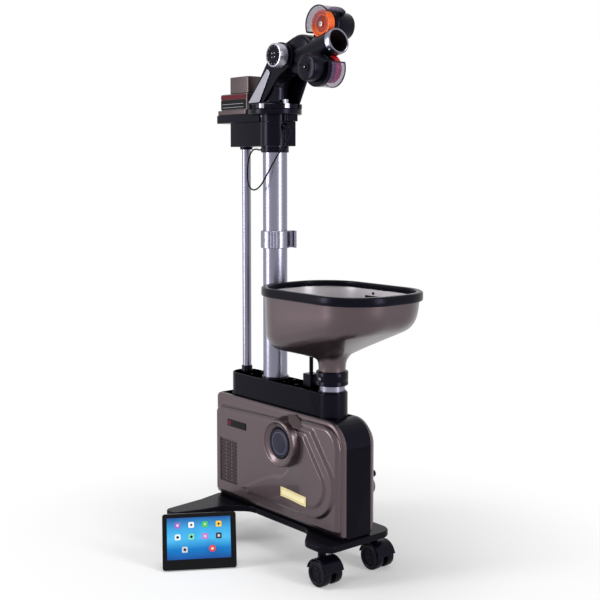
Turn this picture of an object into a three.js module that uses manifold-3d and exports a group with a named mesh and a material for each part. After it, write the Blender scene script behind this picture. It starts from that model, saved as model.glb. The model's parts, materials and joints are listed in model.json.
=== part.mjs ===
// Table tennis robot: a ball thrower on a slim castered base.
// Balls fall from the hopper into the feed wheel in the body, climb the tower tube,
// pass the elbow of the turning head and are thrown out between two driven wheels.
// A tablet controller stands on the floor beside the base.
// Millimetres. +X is the way the balls fly, +Y the far side, +Z up.
// While it is modelled, X and Y are counted from the tower's axis and Z from the floor.
import * as THREE from "three";
import { mergeVertices } from "three/addons/utils/BufferGeometryUtils.js";
import Module from "manifold-3d";

const wasm = await Module();
wasm.setup();

// Clearances and the fineness of round shapes
const gap = 0.3;
const overrun = 1;
const weld = 1e-4;
const fine = { full: 24, tube: 18, small: 8, corner: 2, arc: 6, hood: 4, pipe: 8, bevel: 1 };
const degrees = Math.PI / 180;

// Sizes of the castered base
const caster = {
  wheelRadius: 25,
  wheelWidth: 17,
  faceDish: 2,
  dishRadius: 17,
  treadRound: 3,
  webThickness: 9,
  axleRadius: 3,
  sideGap: 1.2,
  fenderGap: 1.6,
  fenderThickness: 2.4,
  fenderStart: 12 * degrees,
  fenderEnd: 168 * degrees,
  webFoot: 9,
  trail: 10,
  barrelRadius: 8,
  barrelBottom: 40,
  stemRadius: 5,
  stemLength: 10,
  wheelSides: 20,
};
const base = {
  bottom: 66,
  thickness: 13,
  edgeRound: 2,
  frontEnd: 261,
  padRear: 198,
  padHalfWidth: 89,
  padCorner: 30,
  padShoulder: 26,
  spineHalfWidth: 39,
  spineEnd: -18,
  throatX: 150,
  frontCasterX: 225,
  frontCasterY: 68,
};
const crossbar = {
  rear: -153,
  tipFront: -100,
  tipRear: -132,
  tipHalfWidth: 190,
  tipRound: 15,
  rootFront: -80,
  rootHalfWidth: 120,
  hipX: -70,
  hipHalfWidth: 78,
  neckX: -36,
  ribDrop: 7,
  ribHalfWidth: 96,
  ribInset: 9,
  casterX: -118,
  casterY: 163,
};

// Sizes of the body: a black core frame between two moulded shells
const core = {
  rear: -154,
  front: 254,
  bottom: 79.3,
  top: 303,
  halfWidth: 31,
  wall: 4,
  frontRound: 48,
  rearRound: 10,
  footRound: 3,
  webFrom: 27.2,
  webThickness: 2.8,
};
const shell = {
  wall: 3,
  inset: 0.6,
  bottom: 84,
  rimDepth: 9,
  plateauDepth: 19,
  coverDepth: 24.5,
  panDepth: 29,
  edgeRound: 3.6,
  coverRound: 2.4,
  frontRound: 47.4,
  rearRound: 9.4,
  footRound: 4,
  plateauTop: 275,
  plateauBottom: 97,
  plateauFront: 246,
  plateauRear: -144,
  plateauFrontRound: 38,
  plateauRearRound: 12,
};
const drum = {
  x: 177,
  z: 177,
  coverRadius: 68,
  panRadius: 46,
  farCoverRadius: 49,
  farPanRadius: 46,
  coverTopX: 181,
  coverTopZ: 281,
  coverTopRound: 9,
  panTopX: 152,
  panTopZ: 270,
  lobeX: -62,
  lobeZ: 112,
  lobeBottom: 106,
  waveX: 8,
  waveZ: 149,
  crestX: 70,
  crestZ: 168,
  rotorRadius: 61,
  rotorHalfDepth: 21,
  pocketRadius: 21.5,
  pocketCentre: 54,
  pockets: 5,
  housingRadius: 65,
  housingWall: 3,
  housingHalfDepth: 26,
  shaftRadius: 5,
  motorRadius: 29,
  motorDepth: 21,
};
const boss = {
  x: 98,
  z: 243.5,
  baseRadius: 51,
  shoulderRadius: 49,
  faceRadius: 45,
  lipRadius: 43,
  dishRadius: 31,
  seatRadius: 29,
  dishDrop: 5,
  seatDrop: 3,
  depth: 43.5,
  lipRound: 1.6,
  medallionRadius: 28.5,
  medallionThickness: 2.6,
};
const vent = { left: -128, right: -66, bottom: 116, top: 212, columns: 3, rows: 9, frame: 2.5, barShare: 0.42, thickness: 2.4, setBack: 1 };
const bump = { x: 220, z: 164, radius: 19.2, depth: 29.4 };
const cap = { x: 232.5, z: 189.6, radius: 7, height: 10, round: 1.6 };
const supply = { left: -132, right: -66, bottom: 92, top: 196, near: -24, cornerRound: 2 };
const board = { left: -138, right: -48, bottom: 204, top: 286, face: 12, thickness: 1.8, partHeight: 9, chipSide: 22, postRadius: 3, postInset: 8 };
const channel = { outerRadius: 25, boreRadius: 22, bendRadius: 68, start: 150, levelZ: 134, steps: 7 };
const inlet = { z: 116, width: 31, height: 24, depth: 18, flange: 3, flangeWidth: 40, flangeHeight: 31, wall: 3, pinRadius: 1.5, pinPitch: 7, pinLength: 11 };
const rocker = { z: 152, width: 13, height: 19, depth: 8, crown: 3, seatWall: 2.5, seatDepth: 12, pinInset: 5, pinRadius: 1.8 };

// Sizes of the deck, the tubes and the hopper
const deck = { bottom: 303.3, top: 351, halfWidth: 30.5, edgeRound: 2 };
const tower = { radius: 25, bore: 22, bottom: 303.6, top: 902 };
const cableTube = { x: -97, radius: 9.25, bore: 7.5, sides: 16, bottom: 321, socket: 20, footRadius: 11.5, footHeight: 13, capRadius: 13.5, capHeight: 5 };
const clip = { bottom: 622, height: 35, ringRadius: 30.3, hookAngle: 48 * degrees, hookCentre: 33, hookRadius: 11.5, hookBore: 8, mouth: 10, ribs: 4, ribWidth: 3, ribHeight: 1.2, ribStart: -52 * degrees, ribStep: 14 * degrees };
const towerCollar = { radius: 28.5, bottom: 817, grommetRadius: 3.6, grommetLength: 4, grommetAngle: 204 * degrees, grommetZ: 823, round: 1 };
const hopper = {
  tubeX: 177,
  tubeTop: 372,
  collarBottom: 364.5,
  collarTop: 392,
  collarRadius: 31.5,
  collarLip: 2,
  neckRadius: 26.5,
  neckBore: 22,
  centreX: 200.9,
  halfLength: 155.9,
  halfWidth: 111,
  corner: 88,
  wall: 3,
  top: 550.2,
  rimRise: 4.8,
  rimDepth: 17.2,
  rimOut: 4.6,
  rimIn: 8.5,
  rimRound: 2.5,
  skirtDrop: 15,
  skirtInset: 2,
  lowInset: 6,
  edgeRise: 22,
  edgeRiseLow: 9,
  edgeInset: 16,
  turnInset: 23,
  floorInset: 34,
  floorDrop: 3,
  rearEdgeZ: 432.5,
  frontEdgeZ: 486,
  riseFrom: 105,
  riseTo: 335,
  risePower: 1.1,
  floorZ: 421.7,
  flareRadius: 39,
  flareZ: 422.5,
  flareTilt: 6,
  throatRadius: 29.8,
  throatZ: 415.5,
  straightZ: 408,
  sidePoints: 2,
  endPoints: 1,
  cornerPoints: 5,
};
const stay = { x: 114.5, radius: 4, socketSide: 25, socketHeight: 26, socketDepth: 20, bossRadius: 8, bossDrop: 10, bossDepth: 6, round: 1.5 };

// Sizes of the head's fixed block, plate and control box
const block = { rear: -118, front: 35, halfWidth: 28, nearFront: -4, bottom: 830, top: 880, bossRadius: 30.6, round: 1.5, motorDepth: 34 };
const plate = { rear: -165, step: -15, front: 41, halfWidth: 29.5, thickness: 17, round: 2, neckRadius: 30.6, wellRadius: 54.9, wellWall: 2.1, wellDrop: 3.4 };
const box = { rear: -158, front: -65, halfWidth: 22, height: 34, wall: 3, flangeRear: -165, flangeHalfWidth: 26, flangeHeight: 10, flangeRound: 2, lidRear: -130, lidHalfWidth: 19, lidHeight: 35, round: 1.5 };
const swing = { tooth: 2.9, gearTeeth: 34, pinionTeeth: 12, gearHeight: 7.4, addendumShare: 0.8, dedendumShare: 1.05, tipShare: 0.22, rootShare: 0.56, motorRadius: 17, shaftRadius: 3 };
const gland = { y: -2, z: 874, radius: 5, length: 9, noseRadius: 3.2, noseLength: 5, droop: 35 * degrees };
const turntable = { radius: 55, thickness: 9.6, round: 1.4 };

// Sizes of the turning and tilting head
const pivot = { x: 59, z: 1007, pitch: 13 * degrees };
const elbow = { radius: 26, bore: 22, bendRadius: 50, steps: 6, flangeRadius: 33, flangeThickness: 4, jointRadius: 29, endBack: 10 };
const cheek = {
  inner: 26.3,
  thickness: 5.7,
  rear: -49,
  front: -2,
  kneeX: 44,
  kneeZ: 962,
  farFront: 42,
  farKneeX: 64,
  farKneeZ: 956,
  eyeRadius: 26,
  holeRadius: 8.4,
  edgeRound: 1,
};
const gusset = { thickness: 2.4, rearX: -45, frontX: -8, topFrontX: 26, topFrontZ: 976, topRearX: 17, topRearZ: 984, footRise: 3.5, corner: 2 };
const housing = {
  barrelRadius: 26,
  barrelHalfDepth: 25.6,
  humpX: 38,
  humpZ: -9,
  humpRadius: 40,
  humpHalfDepth: 21,
  humpRound: 5,
  trunnionRadius: 8,
  axisDrop: -11,
  tubeRadius: 25,
  tubeBore: 21.5,
  tubeEnd: 123,
  mountFrom: 10.8,
  mountThickness: 3,
  mountRadius: 25,
  armRadius: 16,
};
const knob = { radius: 24, depth: 20, faceRadius: 20, faceDrop: 1.4, rimRound: 1.5, studRadius: 3.8, boreDepth: 10, grips: 24 };
const cup = { radius: 36, wall: 1.8, depth: 22.8, coreRadius: 20 };
const throwWheel = { along: 100, radius: 27, halfGap: 17.85, halfWidth: 7, treadDip: 1.2, webRadius: 18, webDish: 2.5, hubRadius: 6, bore: 3.3, clearance: 1.5 };
const nozzle = { radius: 25.2, bore: 21.6, length: 13.2, round: 1 };
const motor = { radius: 26, length: 47, nose: 14.1, shaftRadius: 3, capRadius: 9, capHeight: 1.6, round: 2.5, shaftTip: -5 };
const guard = {
  radius: 36,
  thickness: 1.8,
  halfWidth: 10.4,
  wallFrom: 8.4,
  wallThickness: 2,
  hubRadius: 12,
  topStart: 28 * degrees,
  topEnd: 190 * degrees,
  bottomStart: -150 * degrees,
  bottomEnd: 4 * degrees,
};

// Sizes of the free cable between the head block and the tower's collar
const cable = { diameter: 3.2, sides: 8, steps: 30 };
const cableRoute = [
  [49.6, -2, 863.6],
  [52.9, -3.4, 857.6],
  [53.4, -7.6, 848.5],
  [50, -14.5, 836],
  [43, -22.5, 818],
  [33, -30.5, 797],
  [20, -36.5, 773],
  [5, -40, 752],
  [-11, -41.5, 742],
  [-27, -41, 743],
  [-40, -38.5, 754],
  [-48.5, -34.5, 772],
  [-52.5, -30, 793],
  [-52.6, -25.3, 811],
  [-48, -20.8, 822],
  [-41, -17.4, 824.6],
  [-35.2, -14.9, 823.3],
  [-30.2, -13.45, 823],
];

// Sizes of the tablet controller
const tablet = {
  width: 145,
  height: 108.2,
  depth: 10,
  corner: 5,
  round: 1.5,
  x: 25.6,
  y: -209.9,
  yaw: 58.3 * degrees,
  lean: 15 * degrees,
  screenLeft: 9,
  screenRight: 11,
  screenTop: 8,
  screenBottom: 21,
  screenDepth: 1.2,
  standWidth: 58,
  standTop: 62,
  standFoot: 50,
  standThickness: 4,
};

const finish = (color, roughness, metalness) => new THREE.MeshStandardMaterial({ color, roughness, metalness });
const bronze = finish(0x6e5f60, 0.35, 0.5);
const black = finish(0x17171c, 0.4, 0.1);
const blackMetal = finish(0x1b1b21, 0.45, 0.6);
const rubber = finish(0x121214, 0.8, 0);
const silver = finish(0xc4c4cc, 0.3, 0.9);
const bareSteel = finish(0x9a9aa2, 0.4, 0.8);
const white = finish(0xd6d4d0, 0.5, 0);
const orange = finish(0xe0582a, 0.5, 0);
const red = finish(0x9b1420, 0.5, 0);
const smoked = new THREE.MeshStandardMaterial({ color: 0x8d83a0, roughness: 0.1, transparent: true, opacity: 0.45 });
const green = finish(0x1f5a3a, 0.6, 0);
const screenBlue = finish(0x3f7fc0, 0.2, 0);

// Joining and cutting closed meshes
function solidOf(geometry) {
  const bare = new THREE.BufferGeometry();
  bare.setAttribute("position", geometry.getAttribute("position"));
  if (geometry.index) bare.setIndex(geometry.index);
  const merged = mergeVertices(bare, weld);
  const index = merged.index.array;
  const triangles = [];
  for (let i = 0; i < index.length; i += 3) {
    const [a, b, c] = [index[i], index[i + 1], index[i + 2]];
    if (a !== b && b !== c && c !== a) triangles.push(a, b, c);
  }
  return new wasm.Manifold(
    new wasm.Mesh({
      numProp: 3,
      vertProperties: merged.attributes.position.array,
      triVerts: new Uint32Array(triangles),
    }),
  );
}

function geometryOf(solid) {
  const mesh = solid.getMesh();
  const geometry = new THREE.BufferGeometry();
  geometry.setAttribute("position", new THREE.BufferAttribute(new Float32Array(mesh.vertProperties), 3));
  geometry.setIndex(new THREE.BufferAttribute(new Uint32Array(mesh.triVerts), 1));
  return geometry;
}

const join = (...geometries) => geometryOf(geometries.map(solidOf).reduce((whole, next) => whole.add(next)));
const cut = (body, ...tools) => geometryOf(tools.map(solidOf).reduce((whole, tool) => whole.subtract(tool), solidOf(body)));
function mirrorY(geometry) {
  const mirrored = geometryOf(solidOf(geometry)).scale(1, -1, 1);
  return mirrored.setIndex([...mirrored.index.array].reverse());
}

// Outlines and basic bodies
function roundedPath(corners, path = new THREE.Shape()) {
  const at = ([x, y]) => new THREE.Vector2(x, y);
  corners.forEach((corner, i) => {
    const here = at(corner);
    const radius = corner[2] ?? 0;
    const before = at(corners[(i + corners.length - 1) % corners.length]).sub(here).normalize();
    const after = at(corners[(i + 1) % corners.length]).sub(here).normalize();
    if (!radius) {
      if (i) path.lineTo(here.x, here.y);
      else path.moveTo(here.x, here.y);
      return;
    }
    const half = Math.acos(before.dot(after)) / 2;
    const start = before.clone().multiplyScalar(radius / Math.tan(half)).add(here);
    const end = after.clone().multiplyScalar(radius / Math.tan(half)).add(here);
    const centre = before.clone().add(after).normalize().multiplyScalar(radius / Math.sin(half)).add(here);
    const clockwise = before.cross(after) > 0;
    if (i) path.lineTo(start.x, start.y);
    else path.moveTo(start.x, start.y);
    path.absarc(centre.x, centre.y, radius, start.sub(centre).angle(), end.sub(centre).angle(), clockwise);
  });
  path.closePath();
  return path;
}

const rectangle = (left, bottom, right, top, round = 0) =>
  roundedPath([[left, bottom, round], [right, bottom, round], [right, top, round], [left, top, round]]);

function disc(radius, x = 0, y = 0) {
  return new THREE.Shape().absarc(x, y, radius, 0, 2 * Math.PI, false);
}

function stadium(left, right, radius) {
  const shape = new THREE.Shape();
  shape.absarc(right, 0, radius, -Math.PI / 2, Math.PI / 2, false);
  shape.absarc(left, 0, radius, Math.PI / 2, 1.5 * Math.PI, false);
  return shape;
}

// An outline pushed up from one level to another, with rounded edges of the given size
function rise(shape, low, high, round = 0, curveSegments = fine.corner) {
  return new THREE.ExtrudeGeometry(shape, {
    depth: high - low - 2 * round,
    curveSegments,
    bevelEnabled: round > 0,
    bevelThickness: round,
    bevelSize: round,
    bevelOffset: -round,
    bevelSegments: fine.bevel,
  }).translate(0, 0, low + round);
}

// An outline in X and Z pushed from one Y to a larger one
function across(shape, near, far, round = 0, curveSegments = fine.corner) {
  return rise(shape, -far, -near, round, curveSegments).rotateX(Math.PI / 2);
}

// An outline in Y and Z pushed from one X to a larger one
function along(shape, rear, front, round = 0, curveSegments = fine.corner) {
  return rise(shape, rear, front, round, curveSegments).rotateX(Math.PI / 2).rotateZ(Math.PI / 2);
}

// A profile of radius and height turned round the Z axis
function turned(profile, sides = fine.full) {
  let area = 0;
  profile.forEach(([r, z], i) => {
    const [nextR, nextZ] = profile[(i + 1) % profile.length];
    area += r * nextZ - nextR * z;
  });
  const points = profile.map(([r, z]) => new THREE.Vector2(r, z));
  if (profile[0][0] > 0) points.push(points[0].clone());
  if (area < 0) points.reverse();
  return geometryOf(solidOf(new THREE.LatheGeometry(points, sides).rotateX(Math.PI / 2)));
}

const rod = (radius, low, high, sides = fine.tube) =>
  new THREE.CylinderGeometry(radius, radius, high - low, sides).rotateX(Math.PI / 2).translate(0, 0, (low + high) / 2);
const pipe = (radius, bore, low, high, sides = fine.tube) =>
  turned([[bore, low], [radius, low], [radius, high], [bore, high]], sides);
const lieAlongY = (geometry) => geometry.rotateX(Math.PI / 2);
const brick = (left, near, low, right, far, high) =>
  new THREE.BoxGeometry(right - left, far - near, high - low)
    .translate((left + right) / 2, (near + far) / 2, (low + high) / 2);

const robot = new THREE.Group();
function piece(name, geometry, material, parent = robot) {
  const mesh = new THREE.Mesh(geometry, material);
  mesh.name = name;
  parent.add(mesh);
  return mesh;
}

// Casters: a hooded fork that swivels on its stem and a pair of wheels on one axle
const axleHeight = caster.wheelRadius * Math.cos(Math.PI / caster.wheelSides);
const wheelInner = caster.webThickness / 2 + caster.sideGap;
const wheelOuter = wheelInner + caster.wheelWidth;

function casterWheels() {
  const { wheelRadius, treadRound, dishRadius, faceDish, axleRadius } = caster;
  const half = [
    [0, wheelOuter - faceDish],
    [dishRadius, wheelOuter - faceDish],
    [dishRadius + faceDish, wheelOuter],
    [wheelRadius - treadRound, wheelOuter],
    [wheelRadius, wheelOuter - treadRound],
    [wheelRadius, wheelInner],
    [axleRadius, wheelInner],
  ];
  const mirrored = half.map(([r, z]) => [r, -z]).reverse();
  const pair = turned([...half, ...mirrored], caster.wheelSides);
  return lieAlongY(pair.rotateZ(Math.PI / caster.wheelSides + Math.PI / 2));
}

function casterHood() {
  const { webThickness, fenderStart, fenderEnd, webFoot, axleRadius, barrelRadius } = caster;
  const inner = caster.wheelRadius + caster.fenderGap;
  const outer = inner + caster.fenderThickness;
  const fender = new THREE.Shape();
  fender.absarc(0, 0, outer, fenderStart, fenderEnd, false);
  fender.absarc(0, 0, inner, fenderEnd, fenderStart, true);
  const web = new THREE.Shape();
  web.absarc(0, 0, outer, fenderStart, fenderEnd, false);
  web.lineTo(-webFoot, -webFoot);
  web.lineTo(webFoot, -webFoot);
  const barrelTop = base.bottom - gap - axleHeight;
  const barrel = rod(barrelRadius, caster.barrelBottom - axleHeight, barrelTop, fine.small);
  const stem = rod(caster.stemRadius, barrelTop - overrun, barrelTop + gap + caster.stemLength, fine.small);
  const post = join(barrel, stem).translate(-caster.trail, 0, 0);
  const nearSpace = lieAlongY(rod(inner, webThickness / 2, wheelOuter));
  const farSpace = lieAlongY(rod(inner, -wheelOuter, -webThickness / 2));
  return cut(
    join(
      across(fender, -wheelOuter, wheelOuter, 0, fine.hood),
      across(web, -webThickness / 2, webThickness / 2, 0, fine.hood),
      cut(post, nearSpace, farSpace),
    ),
    lieAlongY(rod(axleRadius + gap, -webThickness, webThickness, fine.small)),
  );
}

const casterPlaces = {
  front_near: [base.frontCasterX, -base.frontCasterY],
  front_far: [base.frontCasterX, base.frontCasterY],
  rear_near: [crossbar.casterX, -crossbar.casterY],
  rear_far: [crossbar.casterX, crossbar.casterY],
};
for (const [place, [x, y]] of Object.entries(casterPlaces)) {
  const group = new THREE.Group();
  group.position.set(x + caster.trail, y, axleHeight);
  piece("caster_hood_" + place, casterHood(), black, group);
  piece("caster_wheels_" + place, casterWheels(), rubber, group);
  robot.add(group);
}
const stemHole = (x, y) =>
  rod(caster.stemRadius + gap, base.bottom - crossbar.ribDrop - overrun, base.bottom + caster.stemLength + 2 * gap)
    .translate(x, y, 0);

// Base: a front plate with a narrow spine, and a swept crossbar behind it
const baseTop = base.bottom + base.thickness;
function basePlate() {
  const { frontEnd, padRear, padHalfWidth, padCorner, padShoulder, spineHalfWidth, spineEnd, throatX } = base;
  const nearSide = [
    [spineEnd, -spineHalfWidth],
    [throatX, -spineHalfWidth, padCorner],
    [padRear, -padHalfWidth, padShoulder],
    [frontEnd, -padHalfWidth, padCorner],
  ];
  const farSide = nearSide.map(([x, y, r]) => [x, -y, r]).reverse();
  const slab = rise(roundedPath([...nearSide, ...farSide]), base.bottom, baseTop, base.edgeRound);
  return cut(slab, stemHole(...casterPlaces.front_near), stemHole(...casterPlaces.front_far));
}

function rearCrossbar() {
  const { rear, tipFront, tipRear, tipHalfWidth, tipRound, rootFront, rootHalfWidth, hipX, hipHalfWidth, neckX } = crossbar;
  const end = base.spineEnd - gap;
  const nearSide = [
    [rear, 0],
    [rear, -base.spineHalfWidth, tipRound],
    [tipRear, -tipHalfWidth, tipRound],
    [tipFront, -tipHalfWidth, tipRound],
    [rootFront, -rootHalfWidth, tipRound],
    [hipX, -hipHalfWidth, tipRound],
    [neckX, -base.spineHalfWidth, tipRound],
    [end, -base.spineHalfWidth],
  ];
  const farSide = nearSide.slice(1).map(([x, y, r]) => [x, -y, r]).reverse();
  const slab = rise(roundedPath([...nearSide, ...farSide]), base.bottom, baseTop, base.edgeRound);
  const { ribDrop, ribHalfWidth, ribInset } = crossbar;
  const rib = rise(
    rectangle(rear + ribInset, -ribHalfWidth, rootFront - ribInset, ribHalfWidth, ribInset),
    base.bottom - ribDrop,
    base.bottom + base.edgeRound,
    base.edgeRound,
  );
  return cut(join(slab, rib), stemHole(...casterPlaces.rear_near), stemHole(...casterPlaces.rear_far));
}
piece("base_plate", basePlate(), blackMetal);
piece("rear_crossbar", rearCrossbar(), blackMetal);

// Core frame: a ring that the shells close, with a web that carries what is inside
function sideOutline(grow, bottom, rearRound, frontRound, footRound) {
  return [
    [core.rear - grow, bottom, footRound],
    [core.front + grow, bottom, footRound],
    [core.front + grow, core.top + grow, frontRound],
    [core.rear - grow, core.top + grow, rearRound],
  ];
}
function coreFrame() {
  const { wall, halfWidth, bottom, top, webFrom, webThickness, frontRound, rearRound, footRound } = core;
  const ring = roundedPath(sideOutline(0, bottom, rearRound, frontRound, footRound));
  const inside = sideOutline(-wall, bottom + wall, rearRound - wall, frontRound - wall, footRound);
  ring.holes.push(roundedPath(inside, new THREE.Path()));
  const web = across(roundedPath(sideOutline(-wall / 2, bottom + wall / 2, rearRound, frontRound, footRound)), webFrom, webFrom + webThickness);
  const wallHole = (x, radius) => rod(radius, top - wall - overrun, top + overrun).translate(x, 0, 0);
  const backHole = (z, width, height) => brick(core.rear - overrun, -width / 2, z - height / 2, core.rear + wall + overrun, width / 2, z + height / 2);
  return cut(
    join(across(ring, -halfWidth, halfWidth, 0, fine.hood), web),
    wallHole(0, tower.bore),
    wallHole(hopper.tubeX, hopper.neckBore),
    wallHole(cableTube.x, cableTube.bore),
    lieAlongY(rod(drum.shaftRadius + gap, -core.halfWidth - overrun, -webFrom + overrun, fine.small)).translate(drum.x, 0, drum.z),
    backHole(inlet.z, inlet.width + 2 * gap, inlet.height + 2 * gap),
    backHole(rocker.z, rocker.width + 2 * (rocker.seatWall + gap), rocker.height + 2 * (rocker.seatWall + gap)),
  );
}
piece("core_frame", coreFrame(), black);

// Side shells: a stepped moulding with the raised cover of the feed drum
const shellFace = core.halfWidth + gap;
function shellLayers(thinner) {
  const { inset, bottom, edgeRound, coverRound, rimDepth, plateauDepth, coverDepth, panDepth } = shell;
  const round = thinner ? 0 : edgeRound;
  const coverEdge = thinner ? 0 : coverRound;
  const start = thinner ? -overrun : 0;
  const layer = (corners, from, to, edge) =>
    rise(roundedPath(corners), from, to - thinner, edge).rotateX(Math.PI / 2).translate(0, -shellFace, 0);
  const rim = [
    [core.rear + inset + thinner, bottom + thinner, shell.footRound],
    [core.front - inset - thinner, bottom + thinner, shell.footRound],
    [core.front - inset - thinner, core.top - inset - thinner, shell.frontRound - thinner],
    [core.rear + inset + thinner, core.top - inset - thinner, shell.rearRound - thinner],
  ];
  const plateau = [
    [shell.plateauRear + thinner, shell.plateauBottom + thinner, shell.plateauRearRound - thinner],
    [shell.plateauFront - thinner, shell.plateauBottom + thinner, shell.plateauRearRound - thinner],
    [shell.plateauFront - thinner, shell.plateauTop - thinner, shell.plateauFrontRound - thinner],
    [shell.plateauRear + thinner, shell.plateauTop - thinner, shell.plateauRearRound - thinner],
  ];
  const below = thinner ? overrun : edgeRound + overrun;
  return [
    rimBody(layer, rim, start, rimDepth, round),
    layer(plateau, rimDepth - thinner - below, plateauDepth, round),
    coverBody(thinner, plateauDepth - thinner - below, coverDepth, coverEdge),
    panBody(thinner, coverDepth - thinner - below, panDepth, coverEdge),
  ];
}

// The rim starts square on the core, so that only its outer edge is rounded
function rimBody(layer, rim, start, depth, round) {
  if (!round) return layer(rim, start, depth, 0);
  const flush = layer(rim, start, depth / 2, 0);
  return join(layer(rim, start, depth, round), flush);
}

// The raised cover: round the drum, slanting up to the boss, with a long low lobe behind
function coverBody(thinner, from, to, edge) {
  const { x, z, coverRadius, coverTopX, coverTopZ, coverTopRound, lobeX, lobeZ, lobeBottom } = drum;
  const outer = coverRadius - thinner;
  const slant = Math.atan2(coverTopX - x, coverTopZ - z);
  const touch = Math.PI / 2 - slant - Math.acos(outer / Math.hypot(coverTopX - x, coverTopZ - z));
  const shape = new THREE.Shape();
  shape.moveTo(lobeX + thinner, lobeBottom + thinner);
  shape.lineTo(x, Math.max(z - outer, lobeBottom + thinner));
  shape.absarc(x, z, outer, -Math.PI / 2, touch, false);
  shape.lineTo(coverTopX - thinner, coverTopZ - coverTopRound);
  shape.quadraticCurveTo(coverTopX - thinner, coverTopZ - thinner, coverTopX - coverTopRound - thinner, coverTopZ - thinner);
  shape.lineTo(boss.x, coverTopZ - thinner);
  shape.lineTo(boss.x - thinner, drum.crestZ - thinner);
  shape.lineTo(drum.crestX, drum.crestZ - thinner);
  shape.quadraticCurveTo((drum.crestX + drum.waveX) / 2, drum.crestZ - thinner, drum.waveX, drum.waveZ - thinner);
  shape.quadraticCurveTo((lobeX + drum.waveX) / 2, lobeZ - thinner, lobeX + thinner, lobeZ - thinner);
  shape.closePath();
  return rise(shape, from, to - thinner, edge, fine.arc).rotateX(Math.PI / 2).translate(0, -shellFace, 0);
}

function panBody(thinner, from, to, edge) {
  const { x, z, panRadius, panTopX, panTopZ } = drum;
  const outer = panRadius - thinner;
  const slant = Math.atan2(panTopX - x, panTopZ - z);
  const touch = Math.PI / 2 - slant - Math.acos(outer / Math.hypot(panTopX - x, panTopZ - z));
  const shape = new THREE.Shape();
  shape.moveTo(boss.x, z - outer);
  shape.lineTo(x, z - outer);
  shape.absarc(x, z, outer, -Math.PI / 2, touch, false);
  shape.lineTo(panTopX - thinner, panTopZ - thinner);
  shape.lineTo(boss.x, panTopZ - thinner);
  shape.closePath();
  return rise(shape, from, to - thinner, edge, fine.arc).rotateX(Math.PI / 2).translate(0, -shellFace, 0);
}

function badgeBoss() {
  const { baseRadius, shoulderRadius, faceRadius, lipRadius, dishRadius, seatRadius, dishDrop, seatDrop, depth, lipRound } = boss;
  const profile = [
    [0, shell.rimDepth - shell.wall],
    [baseRadius, shell.rimDepth - shell.wall],
    [shoulderRadius, shell.plateauDepth],
    [faceRadius, depth - lipRound],
    [faceRadius - lipRound, depth],
    [lipRadius - lipRound, depth],
    [dishRadius, depth - dishDrop],
    [seatRadius, depth - dishDrop],
    [seatRadius, depth - dishDrop - seatDrop],
    [0, depth - dishDrop - seatDrop],
  ];
  return lieAlongY(turned(profile)).translate(boss.x, -shellFace, boss.z);
}

function bossHollow() {
  const { wall } = shell;
  const deepest = boss.depth - boss.dishDrop - boss.seatDrop - wall;
  const profile = [
    [0, -overrun],
    [boss.shoulderRadius - 2 * wall, -overrun],
    [boss.faceRadius - 2 * wall, deepest],
    [0, deepest],
  ];
  return lieAlongY(turned(profile)).translate(boss.x, -shellFace, boss.z);
}

function nearShell() {
  return cut(join(...shellLayers(0), badgeBoss()), join(...shellLayers(shell.wall)), bossHollow(), ventHole);
}

function farShell() {
  const [rim, plateau] = shellLayers(0);
  const [rimRoom, plateauRoom] = shellLayers(shell.wall);
  const cover = (x, z, radius, from, to, edge) =>
    across(disc(radius, x, z), -shellFace - to, -shellFace - from, edge, 2 * fine.arc);
  const { wall, rimDepth, coverDepth, panDepth, coverRound } = shell;
  const solidShell = join(
    rim,
    plateau,
    cover(drum.x, drum.z, drum.farCoverRadius, rimDepth, coverDepth, coverRound),
    cover(drum.x, drum.z, drum.farPanRadius, rimDepth, panDepth, coverRound),
    cover(bump.x, bump.z, bump.radius, rimDepth, bump.depth, coverRound),
  );
  return mirrorY(
    cut(
      solidShell,
      rimRoom,
      plateauRoom,
      cover(drum.x, drum.z, drum.farCoverRadius - wall, rimDepth - wall, coverDepth - wall, 0),
      cover(drum.x, drum.z, drum.farPanRadius - wall, rimDepth - wall, panDepth - wall, 0),
      cover(bump.x, bump.z, bump.radius - wall, rimDepth - wall, bump.depth - wall, 0),
    ),
  );
}
const ventHole = brick(vent.left, -shellFace - shell.plateauDepth - overrun, vent.bottom, vent.right, -core.halfWidth, vent.top);
piece("near_shell", nearShell(), bronze);
piece("far_shell", farShell(), bronze);
piece(
  "medallion",
  lieAlongY(rod(boss.medallionRadius, 0, boss.medallionThickness, fine.full)).translate(
    boss.x,
    -shellFace - boss.depth + boss.dishDrop + boss.seatDrop - gap,
    boss.z,
  ),
  black,
);
function farCap() {
  const { radius, height, round, x, z } = cap;
  const profile = [[0, 0], [radius, 0], [radius, height - round], [radius - round, height], [0, height]];
  return mirrorY(lieAlongY(turned(profile, fine.tube)).translate(x, -shellFace - shell.plateauDepth - gap, z));
}
piece("far_cap", farCap(), black);

function ventGrille() {
  const left = vent.left + gap;
  const right = vent.right - gap;
  const bottom = vent.bottom + gap;
  const top = vent.top - gap;
  const columnPitch = (right - left - vent.frame) / vent.columns;
  const rowPitch = (top - bottom - vent.frame) / vent.rows;
  const face = -shellFace - shell.plateauDepth + vent.setBack;
  const slots = [];
  for (let column = 0; column < vent.columns; column += 1) {
    for (let row = 0; row < vent.rows; row += 1) {
      const x = left + vent.frame + column * columnPitch;
      const z = bottom + vent.frame + row * rowPitch;
      const slotTop = z + rowPitch * (1 - vent.barShare);
      slots.push(brick(x, face - overrun, z, x + columnPitch - vent.frame, face + vent.thickness + overrun, slotTop));
    }
  }
  return cut(brick(left, face, bottom, right, face + vent.thickness, top), ...slots);
}
piece("vent_grille", ventGrille(), black);

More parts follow.
